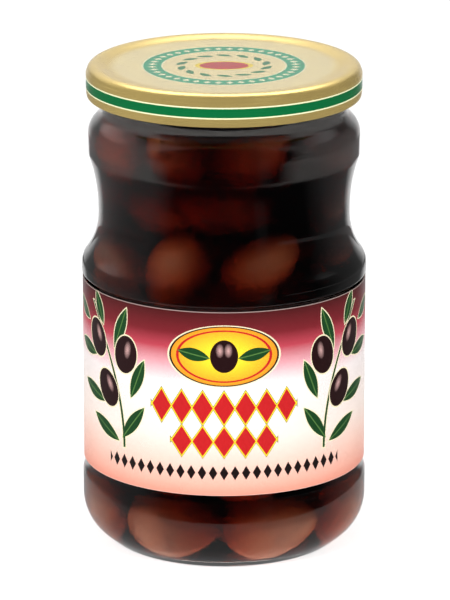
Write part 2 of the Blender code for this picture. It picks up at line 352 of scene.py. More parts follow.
@dataclass(frozen=True)
class Drawing:
    """Flat printed motifs, as fields that are positive inside and fall off outwards, in millimetres."""

    nodes: Nodes
    across: Socket
    up: Socket
    vein_half: float = 0.16

    def local(self, centre: Point, angle: float, size: Point) -> Socket:
        """Return coordinates that run from -1 to 1 over a motif.

        Args:
            centre: middle of the motif.
            angle: turn of its long side from the level, in degrees.
            size: half length and half width.

        Returns:
            The local vector's socket.
        """
        page = self.nodes.add("CombineXYZ", {"X": self.across, "Y": self.up})
        mapping = self.nodes.add("Mapping", {"Vector": page.outputs[0]}, vector_type="TEXTURE")
        mapping.inputs["Location"].default_value = (centre[0], centre[1], 0.0)
        mapping.inputs["Rotation"].default_value = (0.0, 0.0, math.radians(angle))
        mapping.inputs["Scale"].default_value = (size[0], size[1], 1.0)
        return mapping.outputs[0]

    def leaf(self, centre: Point, angle: float, size: Point) -> tuple[Socket, Socket]:
        """Draw a pointed leaf.

        Args:
            centre: middle of the leaf.
            angle: turn of its long side from the level, in degrees.
            size: half length and half width.

        Returns:
            The leaf's field and its middle vein's field.
        """
        nodes = self.nodes
        along, beside, _ = nodes.parts(self.local(centre, angle, size))
        off_vein = nodes.unsigned(beside)
        room = nodes.minus(nodes.rest(nodes.times(along, along)), off_vein)
        field = nodes.times(room, size[1])
        vein = nodes.minus(self.vein_half, nodes.times(off_vein, size[1]))
        return field, nodes.smaller(vein, field)

    def oval(self, centre: Point, angle: float, size: Point) -> Socket:
        """Draw an ellipse.

        Args:
            centre: its middle.
            angle: turn of its first axis from the level, in degrees.
            size: its half axes.

        Returns:
            The ellipse's field.
        """
        nodes = self.nodes
        length = nodes.add("VectorMath", operation="LENGTH")
        nodes.feed(length.inputs[0], self.local(centre, angle, size))
        return nodes.times(nodes.rest(length.outputs["Value"]), min(size))

    def lozenges(self, height: float, pitch: float, half: Point, reach: float) -> Socket:
        """Draw a row of lozenges.

        Args:
            height: height of the row's middle line.
            pitch: distance from one to the next.
            half: half width and half height of one.
            reach: half length of the row.

        Returns:
            The row's field.
        """
        nodes = self.nodes
        shifted = nodes.plus(self.across, pitch / 2.0)
        inside = nodes.minus(nodes.math("FLOORED_MODULO", shifted, pitch), pitch / 2.0)
        side = nodes.over(nodes.unsigned(inside), half[0])
        rise = nodes.over(nodes.unsigned(nodes.minus(self.up, height)), half[1])
        room = nodes.minus(nodes.rest(side), rise)
        end = nodes.minus(reach, nodes.unsigned(self.across))
        return nodes.smaller(nodes.times(room, half[0]), end)

    def join(self, fields: list[Socket]) -> Socket:
        """Return the union of several fields.

        Args:
            fields: the fields.

        Returns:
            The union's field.
        """
        joined = fields[0]
        for field in fields[1:]:
            joined = self.nodes.larger(joined, field)
        return joined


def arc(
    centre: Point, radius: float, start: float, end: float, steps: int, height: float | None = None
) -> list[Point]:
    """Return points of an arc between two angles.

    Args:
        centre: centre of the arc.
        radius: its radius, or its half width where a height is given.
        start: first angle in degrees.
        end: last angle in degrees.
        steps: number of steps.
        height: half height of an ellipse's arc.

    Returns:
        The points, both ends included.
    """
    rise = radius if height is None else height
    points = []
    for step in range(steps + 1):
        angle = math.radians(start + (end - start) * step / steps)
        points.append((centre[0] + radius * math.cos(angle), centre[1] + rise * math.sin(angle)))
    return points


def s_curve(start: Point, end: Point, share: float, steps: int) -> list[Point]:
    """Return an S of two arcs that touch, upright at both ends.

    Args:
        start: first point.
        end: last point.
        share: the first arc's part of the whole.
        steps: number of steps in each arc.

    Returns:
        The points, both ends included.
    """
    change = end[0] - start[0]
    rise = end[1] - start[1]
    total = (change**2 + rise**2) / (2.0 * abs(change))
    sweep = math.asin(rise / total)
    side = math.copysign(1.0, change)
    first = share * total
    second = total - first
    points = []
    for step in range(steps + 1):
        angle = sweep * step / steps
        points.append((start[0] + side * first * (1.0 - math.cos(angle)), start[1] + first * math.sin(angle)))
    for step in range(steps - 1, -1, -1):
        angle = sweep * step / steps
        points.append((end[0] - side * second * (1.0 - math.cos(angle)), end[1] - second * math.sin(angle)))
    return points


def spun(outline: list[Point], segments: int) -> Shape:
    """Turn an outline in the XZ plane once round the Z axis.

    Args:
        outline: radius and height of each point.
        segments: number of steps in the turn.

    Returns:
        The closed shape.
    """
    shape = bmesh.new()
    verts = [shape.verts.new((radius, 0.0, height)) for radius, height in outline]
    edges = [shape.edges.new(pair) for pair in zip(verts, verts[1:])]
    bmesh.ops.spin(
        shape,
        geom=verts + edges,
        cent=(0.0, 0.0, 0.0),
        axis=UPWARDS,
        angle=math.tau,
        steps=segments,
        use_merge=True,
    )
    # Points on the axis come out once for each step, so they are merged and their loose edges go.
    bmesh.ops.remove_doubles(shape, verts=shape.verts, dist=MERGE)
    loose = [edge for edge in shape.edges if not edge.link_faces]
    bmesh.ops.delete(shape, geom=loose, context="EDGES")
    bmesh.ops.recalc_face_normals(shape, faces=shape.faces)
    return shape


def put(name: str, shape: Shape, materials: list[bpy.types.Material]) -> bpy.types.Object:
    """Turn a shape into an object of the scene.

    Args:
        name: name of the object.
        shape: its mesh, in place.
        materials: its materials, in the order of the faces' indices.

    Returns:
        The object.
    """
    mesh = bpy.data.meshes.new(name)
    shape.to_mesh(mesh)
    shape.free()
    for material in materials:
        mesh.materials.append(material)
    item = bpy.data.objects.new(name, mesh)
    bpy.context.scene.collection.objects.link(item)
    return item


def make_piece(
    name: str, shape: Shape, materials: list[bpy.types.Material], crease: float
) -> bpy.types.Object:
    """Turn a shape into a finished piece that rides on the jar's body.

    Args:
        name: name of the piece.
        shape: its mesh, in place.
        materials: its materials, in the order of the faces' indices.
        crease: angle in degrees past which an edge stays sharp.

    Returns:
        The piece.
    """
    item = put(name, shape, materials)
    item.data.shade_smooth()
    item.data.set_sharp_from_angle(angle=math.radians(crease))
    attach(item, BODY)
    LOG.info("%s: %d faces", name, len(item.data.polygons))
    return item


@dataclass(frozen=True)
class JarShape:
    """The lines of the glass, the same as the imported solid's but with finer steps."""

    bulge: float = 0.0444
    panel: float = 0.04355
    waist: float = 0.0391
    band: float = 0.0422
    band_foot: float = 0.04205
    neck: float = 0.0381
    bead: float = 0.0396
    finish: float = 0.0392
    lower_bulge_top: float = 0.0215
    panel_bottom: float = 0.0248
    panel_top: float = 0.0852
    shoulder_start: float = 0.0870
    shoulder_bulge: float = 0.0888
    waist_bottom: float = 0.1050
    waist_top: float = 0.1065
    waist_share: float = 0.21
    band_bottom: float = 0.1240
    band_top: float = 0.1303
    band_rounding: float = 0.0065
    slope: float = 45.0
    neck_fillet: float = 0.0030
    bead_height: float = 0.1413
    bead_half: float = 0.0011
    rim_top: float = 0.1500
    rim_crown: float = 0.0009
    contact_inner: float = 0.0315
    contact_outer: float = 0.0340
    heel_slope: float = 38.8
    heel_upper: float = 0.0144
    heel_lower: float = 0.0040
    push_up: float = 0.0032
    push_up_flat: float = 0.0120
    push_up_arc: float = 60.0
    wall: float = 0.0025
    floor_middle: float = 0.0062
    floor_edge: float = 0.0036
    floor_corner: float = 0.0330
    inner_upper: float = 0.0110
    inner_lower: float = 0.0040
    brine_top: float = 0.1446
    curve_steps: int = 14
    inner_steps: int = 12
    band_shares: tuple[float, ...] = (0.06, 0.5, 0.95)
    bead_steps: int = 8
    shoulder_steps: int = 6
    bulge_steps: int = 4

    def heel(self, foot: Point, bulge: float, lower: float, upper: float, steps: int) -> list[Point]:
        """Return a heel: a small arc, a straight slope and a larger arc.

        Args:
            foot: radius and height where it leaves the level.
            bulge: radius at its top.
            lower: radius of the small arc.
            upper: radius of the large arc.
            steps: number of steps in the large arc.

        Returns:
            The points, both ends included.
        """
        slope = math.radians(self.heel_slope)
        line_foot = foot[0] + lower * math.tan(slope / 2.0)
        corner = foot[1] + (bulge - line_foot) * math.tan(slope)
        top = corner + upper * math.tan((math.pi / 2.0 - slope) / 2.0)
        turned = -90.0 + self.heel_slope
        points = arc((foot[0], foot[1] + lower), lower, -90.0, turned, max(steps - 1, 1))
        points += arc((bulge - upper, top), upper, turned, 0.0, steps)
        return points

    def waist_line(self, inset: float, steps: int) -> list[Point]:
        """Return the line from the shoulder bulge through the waist to the band.

        Args:
            inset: how far inside the outer face it lies.
            steps: number of steps in each arc.

        Returns:
            The points, both ends included.
        """
        waist = self.waist - inset
        band = self.band_foot - inset
        start = (self.bulge - inset, self.shoulder_bulge)
        line = s_curve(start, (waist, self.waist_bottom), self.waist_share, steps)
        rise = self.band_bottom - self.waist_top
        flare = (rise**2 + (band - waist) ** 2) / (2.0 * (band - waist))
        sweep = math.degrees(math.asin(rise / flare))
        line += arc((waist + flare, self.waist_top), flare, 180.0, 180.0 - sweep, steps)
        return line

    def shoulder_line(self, inset: float, steps: int) -> list[Point]:
        """Return the band's rounded top, the slope above it and the fillet into the neck.

        Args:
            inset: how far inside the outer face it lies.
            steps: number of steps in each arc.

        Returns:
            The points, both ends included.
        """
        slope = math.radians(self.slope)
        neck = self.neck - inset
        rounding = self.band_rounding - inset
        fillet = self.neck_fillet + inset
        centre = self.band - self.band_rounding
        slope_start = (centre + rounding * math.cos(slope), self.band_top + rounding * math.sin(slope))
        run = slope_start[0] - (neck + fillet * (1.0 - math.cos(slope)))
        fillet_height = slope_start[1] + run / math.tan(slope) + fillet * math.sin(slope)
        line = arc((centre, self.band_top), rounding, 0.0, self.slope, steps)
        line += arc((neck + fillet, fillet_height), fillet, 180.0 + self.slope, 180.0, steps)
        return line

    def band_line(self) -> list[Point]:
        """Return points along the upper band's straight face, which keep its shading flat.

        Returns:
            The points from its foot up.
        """
        points = []
        for share in self.band_shares:
            radius = self.band_foot + (self.band - self.band_foot) * share
            points.append((radius, self.band_bottom + (self.band_top - self.band_bottom) * share))
        return points

    def inner_line(self, steps: int, reach: float = 0.0) -> list[Point]:
        """Return the inside of the wall from the floor's corner up to the neck.

        Args:
            steps: fineness of each curve.
            reach: how far into the wall the line lies.

        Returns:
            The points from the floor upwards.
        """
        inset = self.wall - reach
        foot = (self.floor_corner, self.floor_edge - reach)
        line = self.heel(foot, self.panel - inset, self.inner_lower + reach, self.inner_upper + reach, steps)
        line += self.waist_line(inset, steps)
        line += self.shoulder_line(inset, max(steps - 1, 1))
        return line

    def outer_line(self) -> list[Point]:
        """Return the outer face from the middle of the base up to the bead.

        Returns:
            The points, both ends included.
        """
        line = [(0.0, self.push_up), (self.push_up_flat, self.push_up)]
        hollow = self.contact_inner - self.push_up_flat
        line += arc((self.push_up_flat, 0.0), hollow, self.push_up_arc, 0.0, self.bead_steps, self.push_up)
        foot = (self.contact_outer, 0.0)
        line += self.heel(foot, self.bulge, self.heel_lower, self.heel_upper, self.curve_steps)
        for start, end in (
            ((self.bulge, self.lower_bulge_top), (self.panel, self.panel_bottom)),
            ((self.panel, self.panel_top), (self.bulge, self.shoulder_start)),
        ):
            line += s_curve(start, end, 0.5, self.bulge_steps)
        line += self.waist_line(0.0, self.curve_steps)
        line += self.band_line()
        line += self.shoulder_line(0.0, self.shoulder_steps)
        bead = self.bead - self.finish
        line += arc((self.finish, self.bead_height), bead, -90.0, 90.0, self.bead_steps, self.bead_half)
        return line

    def knee(self, middle: float, edge: float) -> float:
        """Return the floor's height half way out, between its height in the middle and at the edge."""
        return (middle * 3.0 + edge) / 4.0

    def floor_line(self, reach: float = 0.0) -> list[Point]:
        """Return the glass floor inside, from the middle to before its corner.

        Args:
            reach: how far into the glass the line lies.

        Returns:
            The points from the middle outwards.
        """
        middle = self.floor_middle - reach
        return [(0.0, middle), (self.floor_corner * 0.5, self.knee(middle, self.floor_edge - reach))]

    def inner_radius(self, height: float, inside: list[Point]) -> float:
        """Return the inside radius of the glass at a height.

        Args:
            height: the height.
            inside: the inner line, from the floor upwards.

        Returns:
            The radius.
        """
        if height <= inside[0][1]:
            return inside[0][0]
        for (radius_a, height_a), (radius_b, height_b) in zip(inside, inside[1:]):
            if height_a <= height <= height_b and height_b > height_a:
                share = (height - height_a) / (height_b - height_a)
                return radius_a + (radius_b - radius_a) * share
        return inside[-1][0]

    def floor_height(self, radius: float) -> float:
        """Return the height of the glass floor inside at a radius.

        Args:
            radius: distance from the jar's axis.

        Returns:
            The height.
        """
        half = self.floor_corner * 0.5
        knee = self.knee(self.floor_middle, self.floor_edge)
        if radius <= half:
            return self.floor_middle + (knee - self.floor_middle) * radius / half
        return knee + (self.floor_edge - knee) * min((radius - half) / half, 1.0)


@dataclass(frozen=True)
class GlassFinish:
    """Clear flint glass, a little wavy, with a face that the brine wets."""

    ior: float = 1.5
    roughness: float = 0.015
    tint: Rgba = (0.97, 0.985, 0.975, 1.0)
    wave_size: float = 55.0
    wave: float = 0.00035
    wave_strength: float = 0.35
    # The grey veil below is partly dust and partly painted reflection of the side light.
    dust_and_reflection: Rgba = (0.80, 0.77, 0.75, 1.0)
    band_dust_and_reflection: float = 0.032
    neck_dust_and_reflection: float = 0.06
    front_dust_and_reflection: float = 0.006
    band: Point = (123.6, 134.6)
    band_soft: float = 1.2
    neck: Point = (136.6, 142.0)
    neck_soft: float = 0.9
    turned_away: float = 0.16
    turned_soft: float = 0.08

    def outer(self) -> bpy.types.Material:
        """Return the glass that meets the air, with a grey veil at the sides of band and neck: dust and
        painted reflection.

        Returns:
            The material.
        """
        glass = Finish("clear_glass")
        clear = glass.add(
            "BsdfPrincipled",
            {
                "Base Color": self.tint,
                "Roughness": self.roughness,
                "IOR": self.ior,
                "Transmission Weight": 1.0,
                "Normal": glass.bump(glass.noise(self.wave_size, 1.0), self.wave, self.wave_strength),
            },
        )
        height = glass.millimetres()[2]
        on_band = glass.band(height, *self.band, self.band_soft)
        on_neck = glass.band(height, *self.neck, self.neck_soft)
        facing = glass.add("LayerWeight", {"Blend": 0.5}).outputs["Facing"]
        aside = glass.edge(facing, self.turned_away, self.turned_soft)
        # Painted reflection: a grey diffuse veil, strongest where the glass turns away at the sides of band
        # and neck, stands in for the side light mirrored there; a faint even part of it on the neck is dust.
        band_reflection = glass.times(glass.times(on_band, aside), self.band_dust_and_reflection)
        neck_reflection = glass.times(on_neck, glass.math("MULTIPLY_ADD", aside, self.neck_dust_and_reflection, self.front_dust_and_reflection))
        dusty_reflection = glass.both("MixShader", clear, glass.add("BsdfDiffuse", {"Color": self.dust_and_reflection}), 1)
        glass.feed(dusty_reflection.inputs["Fac"], glass.plus(band_reflection, neck_reflection))
        return glass.cover(dusty_reflection)

    def wetted(self) -> bpy.types.Material:
        """Return the inner face under the brine, which bends light and mirrors almost none.

        Returns:
            The material.
        """
        glass = Finish("wetted_glass")
        bending = {"Color": self.tint, "Roughness": 0.0, "IOR": self.ior}
        return glass.cover(glass.add("BsdfRefraction", bending))


@dataclass(frozen=True)
class GlassJar:
    """The blown jar: walls, pushed-up base, bead and rim."""

    shape: JarShape
    segments: int = 160
    crease: float = 50.0
    below_floor: float = 0.0002
    into_wall: float = 0.0004

    def build(self) -> bpy.types.Object:
        """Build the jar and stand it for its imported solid.

        Returns:
            The piece.
        """
        jar = self.shape
        inside = jar.floor_line() + jar.inner_line(jar.inner_steps)
        rim_half = (jar.finish - inside[-1][0]) / 2.0
        rim_centre = (jar.finish - rim_half, jar.rim_top - jar.rim_crown)
        rim = arc(rim_centre, rim_half, 0.0, 180.0, jar.bead_steps, jar.rim_crown)
        mesh = spun(jar.outer_line() + rim + inside[::-1], self.segments)
        self.mark_wetted(mesh)
        finish = GlassFinish()
        item = make_piece("glass_body", mesh, [finish.outer(), finish.wetted()], self.crease)
        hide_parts("glass_jar")
        return item

    def mark_wetted(self, mesh: Shape) -> None:
        """Give the faces that the brine wets the second material.

        Args:
            mesh: the jar's mesh.
        """
        inside = self.shape.inner_line(self.shape.inner_steps)
        for face in mesh.faces:
            middle = face.calc_center_median()
            if not self.shape.floor_edge - self.below_floor < middle.z < self.shape.brine_top:
                continue
            wall = self.shape.inner_radius(middle.z, inside)
            if math.hypot(middle.x, middle.y) <= wall + self.into_wall:
                face.material_index = 1


@dataclass(frozen=True)
class Brine:
    """The dark brine round the olives, which reaches just into the glass so that no air shows."""

    shape: JarShape
    segments: int = 128
    crease: float = 50.0
    reach: float = 0.00015
    ior: float = 1.34
    murk: float = 0.16
    density: float = 250.0
    colour: Rgba = (0.64, 0.21, 0.0, 1.0)

    def build(self) -> bpy.types.Object:
        """Build the brine.

        Returns:
            The piece.
        """
        line = self.shape.floor_line(self.reach) + self.shape.inner_line(self.shape.inner_steps, self.reach)
        line += [(line[-1][0], self.shape.brine_top), (0.0, self.shape.brine_top)]
        return make_piece("brine", spun(line, self.segments), [self.dress()], self.crease)

    def dress(self) -> bpy.types.Material:
        """Return a liquid that takes light away with depth, and whose rough surface stands for its murk.

        Returns:
            The material.
        """
        brine = Finish("dark_brine")
        depth = brine.add("VolumeAbsorption", {"Color": self.colour, "Density": self.density})
        brine.feed(brine.output.inputs["Volume"], depth.outputs[0])
        bending = {"Color": WHITE, "Roughness": self.murk, "IOR": self.ior}
        return brine.cover(brine.add("BsdfRefraction", bending))


@dataclass(frozen=True)
class OliveSkin:
    """Smooth dark skin, from purple black to reddish brown, with fine pores and a few pale marks."""

    dark: Rgba = (0.045, 0.014, 0.014, 1.0)
    warm: Rgba = (0.37, 0.13, 0.058, 1.0)
    scar: Rgba = (0.30, 0.19, 0.11, 1.0)
    patch_size: float = 95.0
    patchiness: float = 0.9
    pore_size: float = 900.0
    pore_limit: float = 0.66
    pore_soft: float = 0.08
    pore_strength: float = 0.03
    stalk_at: float = 0.955
    stalk_soft: float = 0.03
    wrinkle_size: float = 130.0
    wrinkle: float = 0.0005
    wrinkle_strength: float = 0.3
    roughness: Point = (0.25, 0.42)
    mirror: float = 0.22

    def dress(self) -> bpy.types.Material:
        """Return the olives' finish.

        Returns:
            The material.
        """
        skin = Finish("olive_skin")
        shade = skin.add("Attribute", attribute_name="ripeness").outputs["Fac"]
        along = skin.add("Attribute", attribute_name="along").outputs["Fac"]
        patches = skin.noise(self.patch_size, 3.0)
        pores = skin.noise(self.pore_size, 2.0)
        share = skin.math("ADD", shade, skin.times(skin.minus(patches, 0.5), self.patchiness), clamp=True)
        colour = skin.mix(share, self.dark, self.warm)
        speckle = skin.times(skin.edge(pores, self.pore_limit, self.pore_soft), self.pore_strength)
        colour = skin.mix(speckle, colour, self.scar)
        colour = skin.paint(colour, self.scar, skin.times(along, -1.0), self.stalk_at, self.stalk_soft)
        wrinkles = skin.noise(self.wrinkle_size, 1.0)
        return skin.cover(
            skin.add(
                "BsdfPrincipled",
                {
                    "Base Color": colour,
                    "Roughness": skin.spread(patches, (0.0, 1.0), self.roughness),
                    "Specular IOR Level": self.mirror,
                    "Normal": skin.bump(wrinkles, self.wrinkle, self.wrinkle_strength),
                },
            )
        )


@dataclass(frozen=True)
class Olive:
    """Where one olive lies and how large it is."""

    ring: int
    centre: Vector
    axis: Vector
    length: float
    width: float


@dataclass(frozen=True)
class LaidOlive:
    """An olive that is listed: its ring and place there, angles in degrees, sizes in metres."""

    ring: int
    index: int
    turn: float
    height: float
    tilt: float
    yaw: float
    inset: float
    length: float
    width: float


@dataclass(frozen=True)
class OliveHeap:
    """Whole olives laid ring on ring against the glass, with more of them inside round a plain core."""

    shape: JarShape
    length: float = 0.0268
    width: float = 0.0186
    skin_sides: int = 12
    skin_rings: int = 8
    taper: float = 0.10
    unevenness: float = 0.05
    clearance: float = 0.0006
    pitch: float = 0.0163
    first: float = 0.0138
    counts: tuple[int, ...] = (7, 8, 8, 8, 8, 8, 7, 7)
    paired_rings: tuple[int, ...] = (0, 5)
    seed: int = 11
    insets: tuple[float, ...] = (0.0, 0.0050, 0.0, 0.0, 0.0090, 0.0020, 0.0070, 0.0032)
    turn_play: float = 0.07
    height_play: float = 0.0016
    paired_tilt: float = 0.25
    tilt_limit: float = math.radians(30.0)
    yaw_limit: float = math.radians(34.0)
    laid: tuple[LaidOlive, ...] = (
        LaidOlive(0, 0, 24.5, 0.0126, 3.0, 18.0, 0.0000, 0.0285, 0.0170),
        LaidOlive(0, 6, -28.0, 0.0126, 0.0, -18.0, 0.0000, 0.0285, 0.0170),
        LaidOlive(5, 0, 22.0, 0.0942, 44.0, 6.0, 0.0010, 0.0268, 0.0190),
        LaidOlive(5, 1, 82.0, 0.0930, 20.0, 0.0, 0.0020, 0.0262, 0.0184),
        LaidOlive(5, 7, -27.0, 0.0932, 76.0, 0.0, 0.0010, 0.0262, 0.0196),
        LaidOlive(5, 6, -66.0, 0.0902, -12.0, 0.0, 0.0005, 0.0268, 0.0186),
        LaidOlive(6, 0, -9.0, 0.1120, 3.0, 0.0, 0.0100, 0.0272, 0.0180),
        LaidOlive(6, 1, 80.0, 0.1130, 58.0, 0.0, 0.0010, 0.0262, 0.0180),
        LaidOlive(7, 0, 17.0, 0.1298, 28.0, 42.0, 0.0020, 0.0268, 0.0190),
        LaidOlive(7, 6, -26.0, 0.1290, -14.0, -58.0, 0.0030, 0.0264, 0.0188),
    )
    placing_steps: int = 2
    settling_steps: int = 3
    sides: int = 22
    rings: int = 15
    tip: float = 0.03
    tip_from: float = 0.90
    dimple: float = 0.05
    dimple_from: float = 0.965
    inner_sides: int = 20
    inner_rings: int = 13
    inner_count: int = 5
    inner_radius: float = 0.0165
    inner_play: float = 0.002
    inner_length: float = 0.96
    inner_width: float = 0.98
    core_radius: float = 0.0120
    core_sides: int = 24
    core_reach: float = 0.3
    ripeness: Point = (0.25, 0.85)
    # Painted shade: the inner olives take their tone from a darker range than the outer ones.
    inner_shaded_ripeness: Point = (0.1, 0.5)
    # Painted shade: olives of the upper rings on the right side get a skin darker than any ripeness, for the
    # shade that falls there.
    shaded_rings: tuple[int, ...] = (5, 6, 7)
    shaded_side: float = 0.0210
    painted_shade_ripeness: float = -0.4
    crease: float = 60.0

    def skin_points(self, olive: Olive) -> list[Vector]:
        """Return points all over an olive's skin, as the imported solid's placing has them.

        Args:
            olive: the olive.

        Returns:
            The points.
        """
        turn = olive.axis.to_track_quat("Z", "Y")
        points = []
        for ring in range(self.skin_rings + 1):
            lift = math.cos(math.pi * ring / self.skin_rings)
            half = olive.width / 2.0 * math.sqrt(max(1.0 - lift * lift, 0.0)) * (1.0 - self.taper * lift)
            for side in range(self.skin_sides):
                angle = math.tau * side / self.skin_sides
                local = Vector((half * math.cos(angle), half * math.sin(angle), olive.length / 2.0 * lift))
                points.append(olive.centre + turn @ local)
        return points

    def reach(self, points: list[Vector], inside: list[Point]) -> float:
        """Return how far a skin reaches past the glass, the clearance included.

        Args:
            points: points of the skin.
            inside: the inner line of the glass.

        Returns:
            The length, below zero where the skin is clear.
        """
        reach = -1.0
        for point in points:
            radius = self.shape.inner_radius(point.z, inside)
            reach = max(reach, math.hypot(point.x, point.y) + self.clearance - radius)
        return reach

    def sink(self, points: list[Vector]) -> float:
        """Return how far a skin sinks into the glass floor, the clearance included.

        Args:
            points: points of the skin.

        Returns:
            The depth, or zero where the skin is clear.
        """
        sink = 0.0
        for point in points:
            radius = math.hypot(point.x, point.y)
            if radius <= self.shape.floor_corner:
                sink = max(sink, self.shape.floor_height(radius) + self.clearance - point.z)
        return sink

    def settle(self, olive: Olive, outward: Vector, height: float, inset: float) -> Olive:
        """Push an olive out to the panel's wall, then back from the glass and up from the floor.

        Args:
            olive: the olive, not yet in its place.
            outward: the level direction from the axis to it.
            height: the height of its middle.
            inset: how far it lies from the glass at the end.

        Returns:
            The olive in its place.
        """
        inside = self.shape.inner_line(self.placing_steps)
        distance = self.shape.panel - self.shape.wall - olive.width / 2.0
        moved = replace(olive, centre=outward * distance + UPWARDS * height)
        for _ in range(self.settling_steps):
            distance -= max(self.reach(self.skin_points(moved), inside), 0.0)
            moved = replace(olive, centre=outward * distance + UPWARDS * height)
            height += self.sink(self.skin_points(moved))
        return replace(olive, centre=outward * (distance - inset) + UPWARDS * height)

    def outer_olives(self) -> list[Olive]:
        """Return the olives against the glass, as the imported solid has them.

        Returns:
            The olives, ring by ring.
        """
        chance = random.Random(self.seed)
        laid = {(own.ring, own.index): own for own in self.laid}
        olives = []
        for ring, count in enumerate(self.counts):
            spacing = math.tau / count
            paired = ring in self.paired_rings
            loose = 0.0 if paired else 1.0
            tilting = self.paired_tilt if paired else 1.0
            front = -math.pi / 2.0 + (spacing / 2.0 if paired else spacing * (ring % 2) * 0.5)
            for index in range(count):
                # A listed olive takes its draws too, so that the others keep theirs.
                angle = front + spacing * index + chance.uniform(-self.turn_play, self.turn_play) * loose
                height = self.first + self.pitch * ring
                height += chance.uniform(-self.height_play, self.height_play) * loose
                tilt = chance.uniform(-self.tilt_limit, self.tilt_limit) * tilting
                yaw = chance.uniform(-self.yaw_limit, self.yaw_limit)
                length = self.length * (1.0 + chance.uniform(-1.0, 1.0) * self.unevenness)
                width = self.width * (1.0 + chance.uniform(-1.0, 1.0) * self.unevenness)
                inset = self.insets[ring]
                own = laid.get((ring, index))
                if own:
                    angle = math.radians(own.turn - 90.0)
                    tilt = math.radians(own.tilt)
                    yaw = math.radians(own.yaw)
                    height, inset, length, width = own.height, own.inset, own.length, own.width
                outward = Vector((math.cos(angle), math.sin(angle), 0.0))
                beside = Vector((-math.sin(angle), math.cos(angle), 0.0))
                level = beside * math.cos(yaw) + outward * math.sin(yaw)
                axis = level * math.cos(tilt) + UPWARDS * math.sin(tilt)
                olive = Olive(ring, Vector(), axis, length, width)
                olives.append(self.settle(olive, outward, height, inset))
        return olives

    def inner_olives(self, chance: random.Random) -> list[Olive]:
        """Return the olives inside the outer rings, which show only as dark shapes in the gaps.

        Args:
            chance: where the random draws come from.

        Returns:
            The olives, ring by ring.
        """
        olives = []
        for ring in range(len(self.counts)):
            for index in range(self.inner_count):
                angle = math.tau * (index + 0.5 * (ring % 2)) / self.inner_count
                centre = Vector((math.cos(angle), math.sin(angle), 0.0)) * self.inner_radius
                centre.z = self.first + self.pitch * ring + chance.uniform(-self.inner_play, self.inner_play)
                axis = Vector([chance.uniform(-limit, limit) for limit in (1.0, 1.0, 0.5)])
                size = (self.length * self.inner_length, self.width * self.inner_width)
                olives.append(Olive(ring, centre, axis.normalized(), *size))
        return olives

    def add_olive(self, heap: Shape, olive: Olive, ripeness: float, sides: int, rings: int) -> None:
        """Add one olive, blunt at the stalk's end and with a small point at the other.

        Args:
            heap: the mesh that takes it.
            olive: its place and size.
            ripeness: its tone, from 0 for dark to 1 for warm, and below 0 for painted shade.
            sides: faces round it.
            rings: faces along it.
        """
        shade = heap.verts.layers.float["ripeness"]
        along = heap.verts.layers.float["along"]
        made = bmesh.ops.create_uvsphere(heap, u_segments=sides, v_segments=rings, radius=1.0)["verts"]
        for vert in made:
            lift = vert.co.z
            point = self.tip * max(lift - self.tip_from, 0.0) / (1.0 - self.tip_from)
            dimple = self.dimple * max(-lift - self.dimple_from, 0.0) / (1.0 - self.dimple_from)
            around = olive.width / 2.0 * (1.0 - self.taper * lift)
            vert.co.x *= around
            vert.co.y *= around
            vert.co.z = olive.length / 2.0 * (lift + point + dimple)
            vert[shade] = ripeness
            vert[along] = lift
        turn = olive.axis.to_track_quat("Z", "Y").to_matrix().to_4x4()
        bmesh.ops.transform(heap, matrix=Matrix.Translation(olive.centre) @ turn, verts=made)

    def add_core(self, heap: Shape) -> None:
        """Add the plain core, which shows only through the gaps.

        Args:
            heap: the mesh that takes it.
        """
        low = self.first - self.width * self.core_reach
        high = self.first + self.pitch * (len(self.counts) - 1) + self.width * self.core_reach
        core = bmesh.ops.create_cone(
            heap,
            cap_ends=True,
            segments=self.core_sides,
            radius1=self.core_radius,
            radius2=self.core_radius,
            depth=high - low,
        )["verts"]
        bmesh.ops.translate(heap, vec=UPWARDS * ((low + high) / 2.0), verts=core)

    def build(self) -> bpy.types.Object:
        """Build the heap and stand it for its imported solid.

        Returns:
            The piece.
        """
        heap = bmesh.new()
        heap.verts.layers.float.new("ripeness")
        heap.verts.layers.float.new("along")
        chance = random.Random(self.seed + 1)
        for olive in self.outer_olives():
            ripeness = chance.uniform(*self.ripeness)
            # Painted shade: on the right of the upper rings the skin is made darkest.
            if olive.ring in self.shaded_rings and olive.centre.x > self.shaded_side:
                ripeness = self.painted_shade_ripeness
            self.add_olive(heap, olive, ripeness, self.sides, self.rings)
        for olive in self.inner_olives(chance):
            # The darker inner range is painted shade deep in the heap.
            ripeness = chance.uniform(*self.inner_shaded_ripeness)
            self.add_olive(heap, olive, ripeness, self.inner_sides, self.inner_rings)
        self.add_core(heap)
        bmesh.ops.recalc_face_normals(heap, faces=heap.faces)
        item = make_piece("olive_heap", heap, [OliveSkin().dress()], self.crease)
        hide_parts("olives")
        return item


